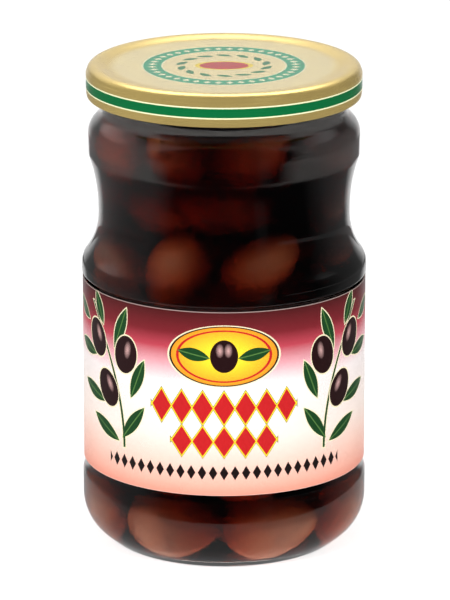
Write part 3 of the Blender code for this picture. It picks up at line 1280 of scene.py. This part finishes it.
@dataclass(frozen=True)
class GoldLacquer:
    """Gold lacquer on tinplate with a green band and a green ring, in millimetres."""

    gold: Rgba = (0.58, 0.43, 0.145, 1.0)
    # Painted light: the panel's paler gold stands in for the bright backdrop mirrored in the sunk panel.
    panel_gold_painted_light: Rgba = (0.64, 0.53, 0.27, 1.0)
    green: Rgba = linear(0, 104, 54)
    teal: Rgba = linear(10, 142, 98)
    cream: Rgba = linear(240, 240, 196)
    red: Rgba = linear(176, 24, 20)
    yellow: Rgba = linear(240, 210, 60)
    skirt_from: float = 42.0
    skirt_soft: float = 0.1
    panel_to: float = 34.5
    panel_soft: float = 3.0
    band_low: float = 145.35
    band_high: float = 148.15
    line: float = 0.42
    band_soft: float = 0.06
    ring_inner: float = 19.4
    ring_outer: float = 24.9
    ring_line: float = 0.45
    ring_soft: float = 0.08
    beads: int = 40
    bead_half: Point = (1.15, 1.45)
    bead_slope: float = 1.1
    wreath_leaves: int = 14
    wreath_radius: float = 13.4
    leaf_turn: float = 24.0
    leaf_half: Point = (2.8, 1.2)
    oval_half: Point = (7.6, 4.8)
    oval_margin: float = 0.9
    soft: float = 0.12
    scuff_size: float = 160.0
    scuff_range: Point = (0.3, 0.7)
    roughness: Point = (0.27, 0.35)
    bare_metal: float = 0.55
    inked_metal: float = 0.08
    mirror: float = 0.14
    coat: float = 0.08
    coat_roughness: float = 0.14
    coat_ior: float = 1.45
    grain_size: float = 2600.0
    grain: float = 0.00002
    grain_strength: float = 0.25

    def dress(self) -> bpy.types.Material:
        """Return the lid's finish.

        Returns:
            The material.
        """
        tin = Finish("gold_lacquer")
        across, deep, height = tin.millimetres()
        radius = tin.math("SQRT", tin.plus(tin.times(across, across), tin.times(deep, deep)))
        on_side = tin.edge(radius, self.skirt_from, self.skirt_soft)
        on_panel = tin.rest(tin.edge(radius, self.panel_to, self.panel_soft))
        low, high = self.band_low, self.band_high
        lines = tin.times(on_side, tin.band(height, low - self.line, high + self.line, self.band_soft))
        green = tin.times(on_side, tin.band(height, low, high, self.band_soft))
        inner, outer = self.ring_inner, self.ring_outer
        ring_lines = tin.band(radius, inner - self.ring_line, outer + self.ring_line, self.ring_soft)
        ring_lines = tin.times(on_panel, ring_lines)
        ring = tin.times(on_panel, tin.band(radius, inner, outer, self.ring_soft))
        beads = tin.times(on_panel, tin.edge(self.ring_beads(tin, across, deep, radius), 0.0, self.soft))
        leaf, oval = self.motif(tin, across, deep, radius)
        leaves = tin.times(on_panel, tin.edge(leaf, 0.0, self.soft))
        yellow = tin.times(on_panel, tin.edge(oval, -self.oval_margin, self.soft))
        red = tin.times(on_panel, tin.edge(oval, 0.0, self.soft))
        # Painted light: the panel is laid in a paler gold than the skirt, for the backdrop that it mirrors.
        colour = tin.mix(on_panel, self.gold, self.panel_gold_painted_light)
        for share, ink in (
            (tin.larger(lines, ring_lines), self.cream),
            (green, self.green),
            (ring, self.teal),
            (beads, self.cream),
            (leaves, self.green),
            (yellow, self.yellow),
            (red, self.red),
        ):
            colour = tin.mix(share, colour, ink)
        inked = lines
        for share in (ring_lines, leaves, yellow):
            inked = tin.larger(inked, share)
        scuffs = tin.noise(self.scuff_size, 5.0)
        return tin.cover(
            tin.add(
                "BsdfPrincipled",
                {
                    "Base Color": colour,
                    "Metallic": tin.spread(inked, (0.0, 1.0), (self.bare_metal, self.inked_metal)),
                    "Roughness": tin.spread(scuffs, self.scuff_range, self.roughness),
                    "Specular IOR Level": self.mirror,
                    "Coat Weight": self.coat,
                    "Coat Roughness": self.coat_roughness,
                    "Coat IOR": self.coat_ior,
                    "Normal": tin.bump(tin.noise(self.grain_size, 2.0), self.grain, self.grain_strength),
                },
            )
        )

    def around(self, tin: Nodes, across: Socket, deep: Socket, count: int, at: float) -> Socket:
        """Return millimetres along a circle from the middle of the nearest of some equal shares.

        Args:
            tin: the finish that takes the nodes.
            across: millimetres along X.
            deep: millimetres along Y.
            count: how many shares the circle has.
            at: the circle's radius.

        Returns:
            The length's socket.
        """
        share = math.tau / count
        angle = tin.math("ARCTAN2", deep, across)
        inside = tin.minus(tin.math("FLOORED_MODULO", angle, share), share / 2.0)
        return tin.times(inside, at)

    def ring_beads(self, tin: Nodes, across: Socket, deep: Socket, radius: Socket) -> Socket:
        """Draw the pale lozenges in the green ring.

        Args:
            tin: the finish that takes the nodes.
            across: millimetres along X.
            deep: millimetres along Y.
            radius: distance from the middle.

        Returns:
            Their field.
        """
        middle = (self.ring_inner + self.ring_outer) / 2.0
        along = tin.unsigned(self.around(tin, across, deep, self.beads, middle))
        outward = tin.unsigned(tin.minus(radius, middle))
        room = tin.rest(tin.over(along, self.bead_half[0]))
        room = tin.minus(room, tin.over(outward, self.bead_half[1]))
        return tin.times(room, self.bead_slope)

    def motif(self, tin: Nodes, across: Socket, deep: Socket, radius: Socket) -> tuple[Socket, Socket]:
        """Draw a plain wreath of leaves and the oval inside it.

        Args:
            tin: the finish that takes the nodes.
            across: millimetres along X.
            deep: millimetres along Y.
            radius: distance from the middle.

        Returns:
            The leaves' field and the oval's field.
        """
        along = self.around(tin, across, deep, self.wreath_leaves, self.wreath_radius)
        outward = tin.minus(radius, self.wreath_radius)
        leaf, _ = Drawing(tin, along, outward).leaf((0.0, 0.0), self.leaf_turn, self.leaf_half)
        oval = Drawing(tin, across, deep).oval((0.0, 0.0), 0.0, self.oval_half)
        return leaf, oval


@dataclass(frozen=True)
class TwistLid:
    """The twist-off lid: sunk panel, rounded crown, crease, skirt, rolled curl and seal ring."""

    rim_top: float
    segments: int = 192
    crease: float = 55.0
    gap: float = 0.0003
    radius: float = 0.0427
    bottom: float = 0.1422
    top: float = 0.15225
    panel: float = 0.1513
    metal: float = 0.00035
    curl: float = 0.00065
    curl_inset: float = 0.0002
    curl_steps: int = 12
    panel_edge: float = 0.0345
    panel_steps: int = 12
    crown: float = 0.0397
    crown_steps: int = 14
    crease_height: float = 0.1502
    crease_depth: float = 0.00035
    crease_steps: int = 5
    skirt_top: float = 0.1494
    seal_inner: float = 0.0362
    seal_outer: float = 0.0403

    def outline(self) -> list[Point]:
        """Return the lid's closed outline from the middle of its panel.

        Returns:
            The points, first outside and then inside.
        """
        line = [(0.0, self.panel), (self.panel_edge * 0.5, self.panel)]
        for step in range(self.panel_steps + 1):
            share = step / self.panel_steps
            lift = math.sin(share * math.pi / 2.0) ** 2
            height = self.panel + (self.top - self.panel) * lift
            line.append((self.panel_edge + (self.crown - self.panel_edge) * share, height))
        width = self.radius - self.crease_depth - self.crown
        rise = self.top - self.crease_height
        line += arc((self.crown, self.crease_height), width, 90.0, 0.0, self.crown_steps, rise)[1:]
        line += self.crease_line()
        line += [(self.radius, self.bottom + self.curl * 3.0)]
        curl_centre = (self.radius - self.curl_inset - self.curl, self.bottom + self.curl)
        line += arc(curl_centre, self.curl, 0.0, -180.0, self.curl_steps)
        inner = self.radius - self.metal
        line += [(curl_centre[0] - self.curl, self.bottom + self.curl * 2.0)]
        line += [(inner, self.bottom + self.curl * 3.0), (inner, self.skirt_top)]
        line += [(self.seal_outer, self.rim_top + self.gap), (self.seal_inner, self.rim_top + self.gap)]
        line += [(self.panel_edge - self.metal, self.panel - self.metal), (0.0, self.panel - self.metal)]
        return line

    def crease_line(self) -> list[Point]:
        """Return the rounded step from the crease out to the skirt.

        Returns:
            The points from the crease down.
        """
        drop = self.crease_height - self.skirt_top
        points = []
        for step in range(1, self.crease_steps + 1):
            share = step / self.crease_steps
            out = self.crease_depth * math.sin(share * math.pi / 2.0)
            points.append((self.radius - self.crease_depth + out, self.crease_height - drop * share))
        return points

    def build(self) -> bpy.types.Object:
        """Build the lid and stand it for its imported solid.

        Returns:
            The piece.
        """
        mesh = spun(self.outline(), self.segments)
        item = make_piece("twist_lid", mesh, [GoldLacquer().dress()], self.crease)
        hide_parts("lid")
        return item


@dataclass(frozen=True)
class Leaf:
    """A drawn leaf: its middle and half size in millimetres, and its turn in degrees."""

    centre: Point
    turn: float
    half: Point


@dataclass(frozen=True)
class Row:
    """A row of lozenges on the label: height, pitch, half size of one and half length, in millimetres."""

    height: float
    pitch: float
    half: Point
    reach: float


@dataclass(frozen=True)
class LabelPrint:
    """Coated paper from burgundy to salmon with plain olive-branch ornament, in millimetres."""

    radius: float = 44.15
    bottom: float = 26.3
    top: float = 85.0
    ground: tuple[tuple[float, Rgba], ...] = (
        (0.0, linear(236, 150, 128)),
        (0.06, linear(246, 178, 158)),
        (0.17, linear(250, 206, 190)),
        (0.32, linear(250, 232, 222)),
        (0.60, linear(246, 236, 234)),
        (0.70, linear(232, 170, 178)),
        (0.80, linear(188, 62, 78)),
        (0.88, linear(124, 26, 36)),
        (1.0, linear(78, 18, 20)),
    )
    leaf_green: Rgba = linear(22, 70, 30)
    vein_green: Rgba = linear(86, 130, 60)
    cream: Rgba = linear(246, 234, 196)
    fruit: Rgba = linear(40, 14, 16)
    fruit_light: Rgba = linear(214, 168, 164)
    red: Rgba = linear(196, 16, 22)
    amber: Rgba = linear(236, 140, 20)
    yellow: Rgba = linear(252, 226, 40)
    ink: Rgba = linear(30, 18, 18)
    outline: Rgba = linear(96, 110, 40)
    cut: Rgba = linear(240, 222, 214)
    crisp: float = 0.1
    soft: float = 0.12
    leaves: tuple[Leaf, ...] = (
        Leaf((30.4, 46.6), 128.0, (7.2, 2.1)),
        Leaf((43.0, 42.6), 24.0, (7.4, 2.2)),
        Leaf((28.6, 61.0), 112.0, (7.0, 2.1)),
        Leaf((50.4, 52.6), 14.0, (7.6, 2.2)),
        Leaf((35.6, 76.0), 112.0, (7.4, 2.1)),
        Leaf((55.4, 65.6), 8.0, (7.0, 2.1)),
        Leaf((46.4, 80.4), 66.0, (5.6, 1.9)),
        Leaf((59.6, 77.0), 22.0, (6.4, 2.0)),
    )
    fruits: tuple[tuple[float, float, float], ...] = (
        (41.6, 55.6, -30.0),
        (33.4, 68.0, 10.0),
        (47.6, 70.4, -26.0),
    )
    fruit_half: Point = (4.6, 6.1)
    shine_shift: Point = (-0.9, 1.6)
    shine_half: Point = (1.1, 2.3)
    shine: float = 0.85
    shine_at: float = 0.35
    shine_soft: float = 1.4
    sprig_margin: float = 0.34
    fruit_margin: float = 0.3
    stem_foot: Point = (34.0, 38.0)
    stem_top: float = 81.5
    stem_bow: float = 0.0086
    stem_half: float = 0.45
    plate_centre: Point = (0.0, 71.0)
    plate_half: Point = (17.2, 9.6)
    plate_margin: float = 0.3
    plate_line: float = 0.35
    plate_glow: float = 3.4
    plate_glow_soft: float = 7.0
    plate_leaf: Leaf = Leaf((9.4, 71.4), 12.0, (5.2, 2.0))
    plate_fruit_half: Point = (4.3, 5.2)
    plate_shine_centre: Point = (1.3, 72.8)
    plate_shine_half: Point = (1.0, 1.8)
    plate_shine_at: float = 0.3
    plate_shine_soft: float = 1.2
    rule_at: float = 1.5
    rule_half: float = 0.24
    rows: tuple[Row, ...] = (
        Row(54.4, 6.6, (3.1, 5.0), 23.0),
        Row(43.6, 6.6, (3.1, 4.6), 16.4),
    )
    row_outline: float = 0.62
    row_margin: float = 0.42
    row_core: float = 0.05
    beads: Row = Row(33.6, 3.4, (1.35, 2.3), 40.6)
    cut_width: float = 0.2
    cut_strength: float = 0.4
    tone_size: float = 70.0
    tone: float = 0.06
    roughness: float = 0.42
    mirror: float = 0.22
    coat: float = 0.1
    coat_roughness: float = 0.22
    fibre_size: float = 1800.0
    fibre: float = 0.00002
    fibre_strength: float = 0.5

    def dress(self) -> bpy.types.Material:
        """Return the label's finish.

        Returns:
            The material.
        """
        paper = Finish("label_paper")
        across, deep, up = paper.millimetres()
        turn = paper.math("ARCTAN2", across, paper.times(deep, -1.0))
        # The two halves of the print mirror each other, so the page is drawn once on the distance aside.
        page = Drawing(paper, paper.unsigned(paper.times(turn, self.radius)), up)
        share = paper.over(paper.minus(up, self.bottom), self.top - self.bottom)
        colour = self.sprig(page, paper.ramp(share, self.ground))
        colour = self.badge(page, colour)
        colour = self.ornament(page, colour)
        upper = paper.edge(up, self.top - self.cut_width, self.crisp)
        lower = paper.rest(paper.edge(up, self.bottom + self.cut_width, self.crisp))
        colour = paper.mix(paper.times(paper.larger(upper, lower), self.cut_strength), colour, self.cut)
        darker = paper.math("MULTIPLY_ADD", paper.noise(self.tone_size, 2.0), -self.tone, 1.0)
        return paper.cover(
            paper.add(
                "BsdfPrincipled",
                {
                    "Base Color": paper.scaled(colour, darker),
                    "Roughness": self.roughness,
                    "Specular IOR Level": self.mirror,
                    "Coat Weight": self.coat,
                    "Coat Roughness": self.coat_roughness,
                    "Normal": paper.bump(paper.noise(self.fibre_size, 3.0), self.fibre, self.fibre_strength),
                },
            )
        )

    def sprig(self, page: Drawing, colour: Socket) -> Socket:
        """Draw the upright branch at each side, with its leaves and fruit.

        Args:
            page: the mirrored page.
            colour: what lies under it.

        Returns:
            The new colour.
        """
        paper = page.nodes
        drawn = [page.leaf(leaf.centre, leaf.turn, leaf.half) for leaf in self.leaves]
        leaves = page.join([field for field, _ in drawn])
        veins = page.join([vein for _, vein in drawn])
        ovals = []
        shines = []
        for across, up, turn in self.fruits:
            ovals.append(page.oval((across, up), turn, self.fruit_half))
            centre = (across + self.shine_shift[0], up + self.shine_shift[1])
            shines.append(page.oval(centre, turn, self.shine_half))
        fruit = page.join(ovals)
        stem = self.stem(page)
        whole = page.join([leaves, fruit, stem])
        colour = paper.paint(colour, self.cream, whole, -self.sprig_margin, self.soft)
        colour = paper.paint(colour, self.leaf_green, stem, 0.0, self.crisp)
        colour = paper.paint(colour, self.leaf_green, leaves, 0.0, self.crisp)
        colour = paper.paint(colour, self.vein_green, veins, 0.0, self.soft)
        colour = paper.paint(colour, self.cream, fruit, -self.fruit_margin, self.crisp)
        colour = paper.paint(colour, self.fruit, fruit, 0.0, self.crisp)
        lit = paper.edge(page.join(shines), self.shine_at, self.shine_soft)
        return paper.mix(paper.times(lit, self.shine), colour, self.fruit_light)

    def stem(self, page: Drawing) -> Socket:
        """Draw the branch that carries the leaves, a bow that opens upwards.

        Args:
            page: the mirrored page.

        Returns:
            Its field.
        """
        paper = page.nodes
        rise = paper.minus(page.up, self.stem_foot[1])
        bow = paper.plus(self.stem_foot[0], paper.times(paper.times(rise, rise), self.stem_bow))
        off = paper.unsigned(paper.minus(page.across, bow))
        ends = paper.smaller(rise, paper.minus(self.stem_top, page.up))
        return paper.smaller(paper.minus(self.stem_half, off), ends)

    def badge(self, page: Drawing, colour: Socket) -> Socket:
        """Draw the plain yellow oval in the middle, with one olive and two leaves.

        Args:
            page: the mirrored page.
            colour: what lies under it.

        Returns:
            The new colour.
        """
        paper = page.nodes
        plate = page.oval(self.plate_centre, 0.0, self.plate_half)
        leaf, vein = page.leaf(self.plate_leaf.centre, self.plate_leaf.turn, self.plate_leaf.half)
        fruit = page.oval(self.plate_centre, 0.0, self.plate_fruit_half)
        shine = page.oval(self.plate_shine_centre, 0.0, self.plate_shine_half)
        colour = paper.paint(colour, self.cream, plate, -self.plate_margin, self.soft)
        colour = paper.paint(colour, self.ink, plate, 0.0, self.soft)
        glow = paper.paint(self.amber, self.yellow, plate, self.plate_glow, self.plate_glow_soft)
        colour = paper.paint(colour, glow, plate, self.plate_line, self.soft)
        rule = paper.minus(self.rule_half, paper.unsigned(paper.minus(plate, self.rule_at)))
        for field, ink in (
            (rule, self.red),
            (leaf, self.leaf_green),
            (vein, self.vein_green),
            (fruit, self.fruit),
        ):
            colour = paper.paint(colour, ink, field, 0.0, self.crisp)
        lit = paper.edge(shine, self.plate_shine_at, self.plate_shine_soft)
        return paper.mix(paper.times(lit, self.shine), colour, self.fruit_light)

    def ornament(self, page: Drawing, colour: Socket) -> Socket:
        """Draw the rows of lozenges and the row of dark beads under them.

        Args:
            page: the mirrored page.
            colour: what lies under them.

        Returns:
            The new colour.
        """
        paper = page.nodes
        for row in self.rows:
            field = page.lozenges(row.height, row.pitch, row.half, row.reach)
            colour = paper.paint(colour, self.outline, field, -self.row_outline, self.crisp)
            colour = paper.paint(colour, self.yellow, field, -self.row_margin, self.crisp)
            colour = paper.paint(colour, self.red, field, -self.row_core, self.crisp)
        beads = page.lozenges(self.beads.height, self.beads.pitch, self.beads.half, self.beads.reach)
        return paper.paint(colour, self.ink, beads, 0.0, self.crisp)


@dataclass(frozen=True)
class PaperLabel:
    """The wrap-round label, whose ends overlap at the back."""

    shape: JarShape
    segments: int = 240
    crease: float = 40.0
    gap: float = 0.0003
    thickness: float = 0.0003
    overlap: float = 0.00014
    overlap_half: float = math.radians(7.5)
    overlap_first: float = 0.25
    bottom: float = 0.0263
    top: float = 0.0850

    def build(self) -> bpy.types.Object:
        """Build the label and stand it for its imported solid.

        Returns:
            The piece.
        """
        inner = self.shape.panel + self.gap
        outer = inner + self.thickness
        line = [(inner, self.bottom), (outer, self.bottom), (outer, self.top), (inner, self.top)]
        mesh = spun(line + line[:1], self.segments)
        for vert in mesh.verts:
            radius = math.hypot(vert.co.x, vert.co.y)
            angle = math.atan2(vert.co.x, vert.co.y)
            if radius > (inner + outer) / 2.0 and -self.overlap_half <= angle <= self.overlap_half:
                share = (angle + self.overlap_half) / (2.0 * self.overlap_half)
                scale = (radius + self.overlap * min(1.0, self.overlap_first + share)) / radius
                vert.co.x *= scale
                vert.co.y *= scale
        item = make_piece("wrap_label", mesh, [LabelPrint().dress()], self.crease)
        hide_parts("label")
        return item


@dataclass(frozen=True)
class Patch:
    """A patch of the room's light, from edge to edge, in degrees right of the front and above the level."""

    left: float
    right: float
    side_soft: float
    low: float
    high: float
    rise_soft: float


@dataclass(frozen=True)
class Sky:
    """The room: white to the eye, a dark front in the mirror, and light mostly from the left."""

    ambient: float = 0.35
    gloom: float = 0.02
    back_from: float = 150.0
    back_soft: float = 16.0
    back_rise: tuple[float, float, float] = (-45.0, 60.0, 8.0)
    left_back_low: float = 16.0
    right_back_low: float = 29.0
    low_soft: float = 12.0
    middle_soft: float = 10.0
    high_from: float = 98.0
    high_soft: float = 20.0
    high_to: float = 72.0
    high_to_soft: float = 8.0
    high_side: float = 0.65
    high_back: float = 0.75
    high_back_from: float = 125.0
    high_back_soft: float = 40.0
    overhead: float = 0.9
    overhead_from: float = 70.0
    overhead_soft: float = 6.0
    overhead_deep: Point = (0.08, 0.10)
    ceiling: float = 8.0
    ceiling_rise: tuple[float, float, float] = (44.0, 71.0, 6.0)
    ceiling_deep: Point = (0.2, 0.1)
    ceiling_half: Point = (0.52, 0.3)
    left_haze: float = 0.26
    left_haze_from: float = 62.0
    left_haze_soft: float = 24.0
    right_haze: float = 0.14
    right_haze_from: float = 96.0
    right_haze_soft: float = 30.0
    strip: float = 0.06
    strip_patch: Patch = Patch(29.0, 40.0, 4.0, -40.0, 10.0, 5.0)
    back_lit_from: float = 128.0
    back_lit_soft: float = 40.0
    back_lit_rise: tuple[float, float, float] = (-60.0, 40.0, 20.0)
    right_back: float = 0.3
    right_back_from: float = 60.0
    right_back_soft: float = 60.0
    keys: tuple[tuple[float, Patch], ...] = (
        (3.3, Patch(-125.0, -28.0, 46.0, -8.0, 68.0, 24.0)),
        (1.3, Patch(-30.0, 44.0, 32.0, 8.0, 62.0, 24.0)),
        (0.03, Patch(50.0, 120.0, 40.0, 0.0, 62.0, 24.0)),
    )

    def build(self) -> None:
        """Make the room's light."""
        world = bpy.data.worlds.new("room")
        bpy.context.scene.world = world
        world.use_nodes = True
        room = Nodes(world.node_tree)
        output = room.add("OutputWorld")
        across, deep, up = room.parts(room.add("TexCoord").outputs["Generated"])
        azimuth = room.math("DEGREES", room.math("ARCTAN2", across, room.times(deep, -1.0)))
        height = room.math("DEGREES", room.math("ARCSINE", up))
        path = room.add("LightPath")
        mirrored = self.mirrored(room, azimuth, height, across, deep)
        shining = self.shining(room, azimuth, height)
        # A ray through the glass counts as glossy too, so its own test comes after the mirrored one.
        strength = room.blend(path.outputs["Is Glossy Ray"], self.ambient, mirrored)
        strength = room.blend(path.outputs["Is Transmission Ray"], strength, shining)
        strength = room.blend(path.outputs["Is Camera Ray"], strength, 1.0)
        background = room.add("Background", {"Color": WHITE, "Strength": strength})
        room.feed(output.inputs["Surface"], background.outputs[0])

    def patch(self, room: Nodes, azimuth: Socket, height: Socket, patch: Patch) -> Socket:
        """Return 1 inside a patch of the room and 0 outside it.

        Args:
            room: the world's nodes.
            azimuth: degrees to the right of the front.
            height: degrees above the level.
            patch: the patch.

        Returns:
            The mask's socket.
        """
        beside = room.band(azimuth, patch.left, patch.right, patch.side_soft)
        return room.times(beside, room.band(height, patch.low, patch.high, patch.rise_soft))

    def mirrored(
        self, room: Nodes, azimuth: Socket, height: Socket, across: Socket, deep: Socket
    ) -> Socket:
        """Return how bright the room is in the mirror of the glass and the lid.

        Args:
            room: the world's nodes.
            azimuth: degrees to the right of the front.
            height: degrees above the level.
            across: the direction's part along X.
            deep: the direction's part along Y.

        Returns:
            The brightness.
        """
        turned = room.unsigned(azimuth)
        back = room.edge(turned, self.back_from, self.back_soft)
        back = room.times(back, room.band(height, *self.back_rise))
        on_right = room.edge(azimuth, 0.0, self.middle_soft)
        lowest = room.blend(on_right, self.left_back_low, self.right_back_low)
        above = room.edge(room.minus(height, lowest), 0.0, self.low_soft)
        below = room.rest(room.edge(height, self.high_to, self.high_to_soft))
        high = room.times(room.edge(turned, self.high_from, self.high_soft), room.times(above, below))
        behind = room.edge(turned, self.high_back_from, self.high_back_soft)
        rising = room.math("MULTIPLY_ADD", behind, self.high_back, self.high_side)
        overhead = room.edge(height, self.overhead_from, self.overhead_soft)
        overhead = room.times(overhead, room.edge(deep, *self.overhead_deep))
        ceiling = room.times(room.band(height, *self.ceiling_rise), room.edge(deep, *self.ceiling_deep))
        ceiling = room.times(ceiling, room.rest(room.edge(room.unsigned(across), *self.ceiling_half)))
        glow = room.larger(back, room.times(high, rising))
        glow = room.larger(glow, room.times(ceiling, self.ceiling))
        glow = room.larger(glow, room.times(overhead, self.overhead))
        on_left = room.edge(room.times(azimuth, -1.0), self.left_haze_from, self.left_haze_soft)
        haze = room.times(on_left, self.left_haze)
        far_right = room.edge(azimuth, self.right_haze_from, self.right_haze_soft)
        haze = room.math("MULTIPLY_ADD", far_right, self.right_haze, haze)
        strip = self.patch(room, azimuth, height, self.strip_patch)
        glow = room.math("MULTIPLY_ADD", strip, self.strip, room.larger(glow, haze))
        return room.plus(glow, self.gloom)

    def shining(self, room: Nodes, azimuth: Socket, height: Socket) -> Socket:
        """Return how bright the room is where it shines through the glass.

        Args:
            room: the world's nodes.
            azimuth: degrees to the right of the front.
            height: degrees above the level.

        Returns:
            The brightness.
        """
        turned = room.unsigned(azimuth)
        behind = room.edge(turned, self.back_lit_from, self.back_lit_soft)
        back = room.times(behind, room.band(height, *self.back_lit_rise))
        on_right = room.edge(azimuth, self.right_back_from, self.right_back_soft)
        back = room.times(back, room.blend(on_right, 1.0, self.right_back))
        lit = [room.times(self.patch(room, azimuth, height, patch), bright) for bright, patch in self.keys]
        glow = lit[0]
        for share in lit[1:]:
            glow = room.plus(glow, share)
        return room.plus(room.larger(glow, back), self.gloom)


@dataclass(frozen=True)
class Studio:
    """The pale floor, the soft lights and the camera at the photograph's angle."""

    camera_distance: float = 1.4
    camera_height: float = 0.48983
    camera_pitch: float = 73.53
    lens: float = 280.02
    sensor: float = 36.0
    shift: float = 0.0015
    floor_sides: int = 96
    floor_radius: float = 4.0
    floor_white: Rgba = (0.93, 0.93, 0.93, 1.0)
    floor_glow: float = 0.62
    floor_depth: float = 0.00002
    near_depth: float = 0.00001
    near_floors: tuple[tuple[str, float, float, bool], ...] = (
        ("mirrored_floor", 0.095, 0.52, False),
        ("shining_floor", 0.30, 4.4, True),
    )
    panel_distance: float = 0.42
    panel_low: float = 0.012
    panel_high: float = 0.044
    panel_steps: int = 24
    panels: tuple[tuple[str, float, float, float], ...] = (
        ("left_panel", -158.0, -60.0, 0.24),
        ("right_panel", 48.0, 158.0, 0.22),
    )
    lamps: tuple[tuple[str, float, float], ...] = (
        ("front_left_lamp", -0.75, 9.6),
        ("front_right_lamp", 0.75, 8.2),
    )
    lamp_deep: float = -1.0
    lamp_height: float = 0.75
    lamp_size: float = 0.6
    aim_height: float = 0.075
    bounces: int = 18
    clear_bounces: int = 16
    brightest: float = 6.0

    def camera(self) -> None:
        """Place the camera."""
        data = bpy.data.cameras.new("camera")
        data.lens = self.lens
        data.sensor_width = self.sensor
        data.shift_x = self.shift
        item = bpy.data.objects.new("camera", data)
        item.location = (0.0, -self.camera_distance, self.camera_height)
        item.rotation_euler = (math.radians(self.camera_pitch), 0.0, 0.0)
        bpy.context.scene.collection.objects.link(item)
        bpy.context.scene.camera = item

    def disc(self, radius: float, depth: float) -> Shape:
        """Return a level disc just under the jar.

        Args:
            radius: its radius.
            depth: how far it lies below the jar's base.

        Returns:
            Its mesh.
        """
        shape = bmesh.new()
        bmesh.ops.create_circle(shape, cap_ends=True, segments=self.floor_sides, radius=radius)
        bmesh.ops.translate(shape, vec=UPWARDS * -depth, verts=shape.verts)
        return shape

    def floor(self) -> None:
        """Lay a plain pale floor, which mirrors in nothing."""
        paint = Finish("pale_floor")
        matt = paint.add("BsdfDiffuse", {"Color": self.floor_white})
        glow = paint.add("Emission", {"Color": WHITE, "Strength": self.floor_glow})
        pale = paint.cover(paint.both("AddShader", matt, glow))
        item = put("floor", self.disc(self.floor_radius, self.floor_depth), [pale])
        item.visible_glossy = False

    def near_floor(self) -> None:
        """Lay the brightly lit floor by the jar twice: as the glass mirrors it and as it shines through."""
        for name, radius, strength, through in self.near_floors:
            self.glowing(name, self.disc(radius, self.near_depth), strength, through)

    def panel(self, name: str, first: float, last: float, strength: float) -> None:
        """Stand a curved glowing panel beside the jar, which only the glass and the lid mirror.

        Args:
            name: name of the panel.
            first: its first edge, in degrees to the right of the front.
            last: its last edge.
            strength: how bright it is.
        """
        shape = bmesh.new()
        start = math.radians(first - 90.0)
        foot = Vector((math.cos(start), math.sin(start), 0.0)) * self.panel_distance
        low = shape.verts.new((foot.x, foot.y, self.panel_low))
        high = shape.verts.new((foot.x, foot.y, self.panel_high))
        edge = shape.edges.new((low, high))
        bmesh.ops.spin(
            shape,
            geom=[low, high, edge],
            cent=(0.0, 0.0, 0.0),
            axis=UPWARDS,
            angle=math.radians(last - first),
            steps=self.panel_steps,
            use_merge=False,
        )
        self.glowing(name, shape, strength, False)

    def glowing(self, name: str, shape: Shape, strength: float, through: bool) -> None:
        """Turn a shape into a stage piece that glows either in the mirror or through the glass.

        Args:
            name: name of the piece.
            shape: its mesh.
            strength: how bright it is.
            through: whether only rays through the glass see it, and not mirrored ones.
        """
        paint = Finish(name)
        light = paint.cover(paint.add("Emission", {"Color": WHITE, "Strength": strength}))
        item = put(name, shape, [light])
        item.visible_camera = False
        item.visible_diffuse = False
        item.visible_glossy = not through
        item.visible_transmission = through
        item.visible_volume_scatter = False
        item.visible_shadow = False

    def lamp(self, name: str, across: float, power: float) -> None:
        """Hang a soft square lamp in front that points at the jar and mirrors in nothing.

        Args:
            name: name of the lamp.
            across: how far to the right it hangs, in metres.
            power: its power, in watts.
        """
        data = bpy.data.lights.new(name, "AREA")
        data.shape = "SQUARE"
        data.size = self.lamp_size
        data.energy = power
        item = bpy.data.objects.new(name, data)
        item.location = (across, self.lamp_deep, self.lamp_height)
        aim = UPWARDS * self.aim_height - item.location
        item.rotation_euler = aim.to_track_quat("-Z", "Y").to_euler()
        item.visible_glossy = False
        item.visible_camera = False
        item.visible_transmission = False
        bpy.context.scene.collection.objects.link(item)

    def settings(self) -> None:
        """Set how the picture is shown and how far light is followed."""
        scene = bpy.context.scene
        scene.view_settings.view_transform = "Standard"
        scene.view_settings.look = "None"
        scene.cycles.use_denoising = True
        # The first hit behind clear glass is noisy, and as a guide it would mottle the olives.
        scene.cycles.denoising_input_passes = "RGB"
        scene.cycles.max_bounces = self.bounces
        scene.cycles.transmission_bounces = self.bounces
        scene.cycles.transparent_max_bounces = self.clear_bounces
        scene.cycles.sample_clamp_indirect = self.brightest

    def build(self) -> None:
        """Set up the whole studio."""
        self.camera()
        self.floor()
        self.near_floor()
        for name, first, last, strength in self.panels:
            self.panel(name, first, last, strength)
        Sky().build()
        for name, across, power in self.lamps:
            self.lamp(name, across, power)
        self.settings()


def main() -> None:
    """Build each part of the jar in order, then the studio round it."""
    shape = JarShape()
    GlassJar(shape).build()
    Brine(shape).build()
    OliveHeap(shape).build()
    TwistLid(shape.rim_top).build()
    PaperLabel(shape).build()
    Studio().build()


if __name__ == "__main__":
    main()
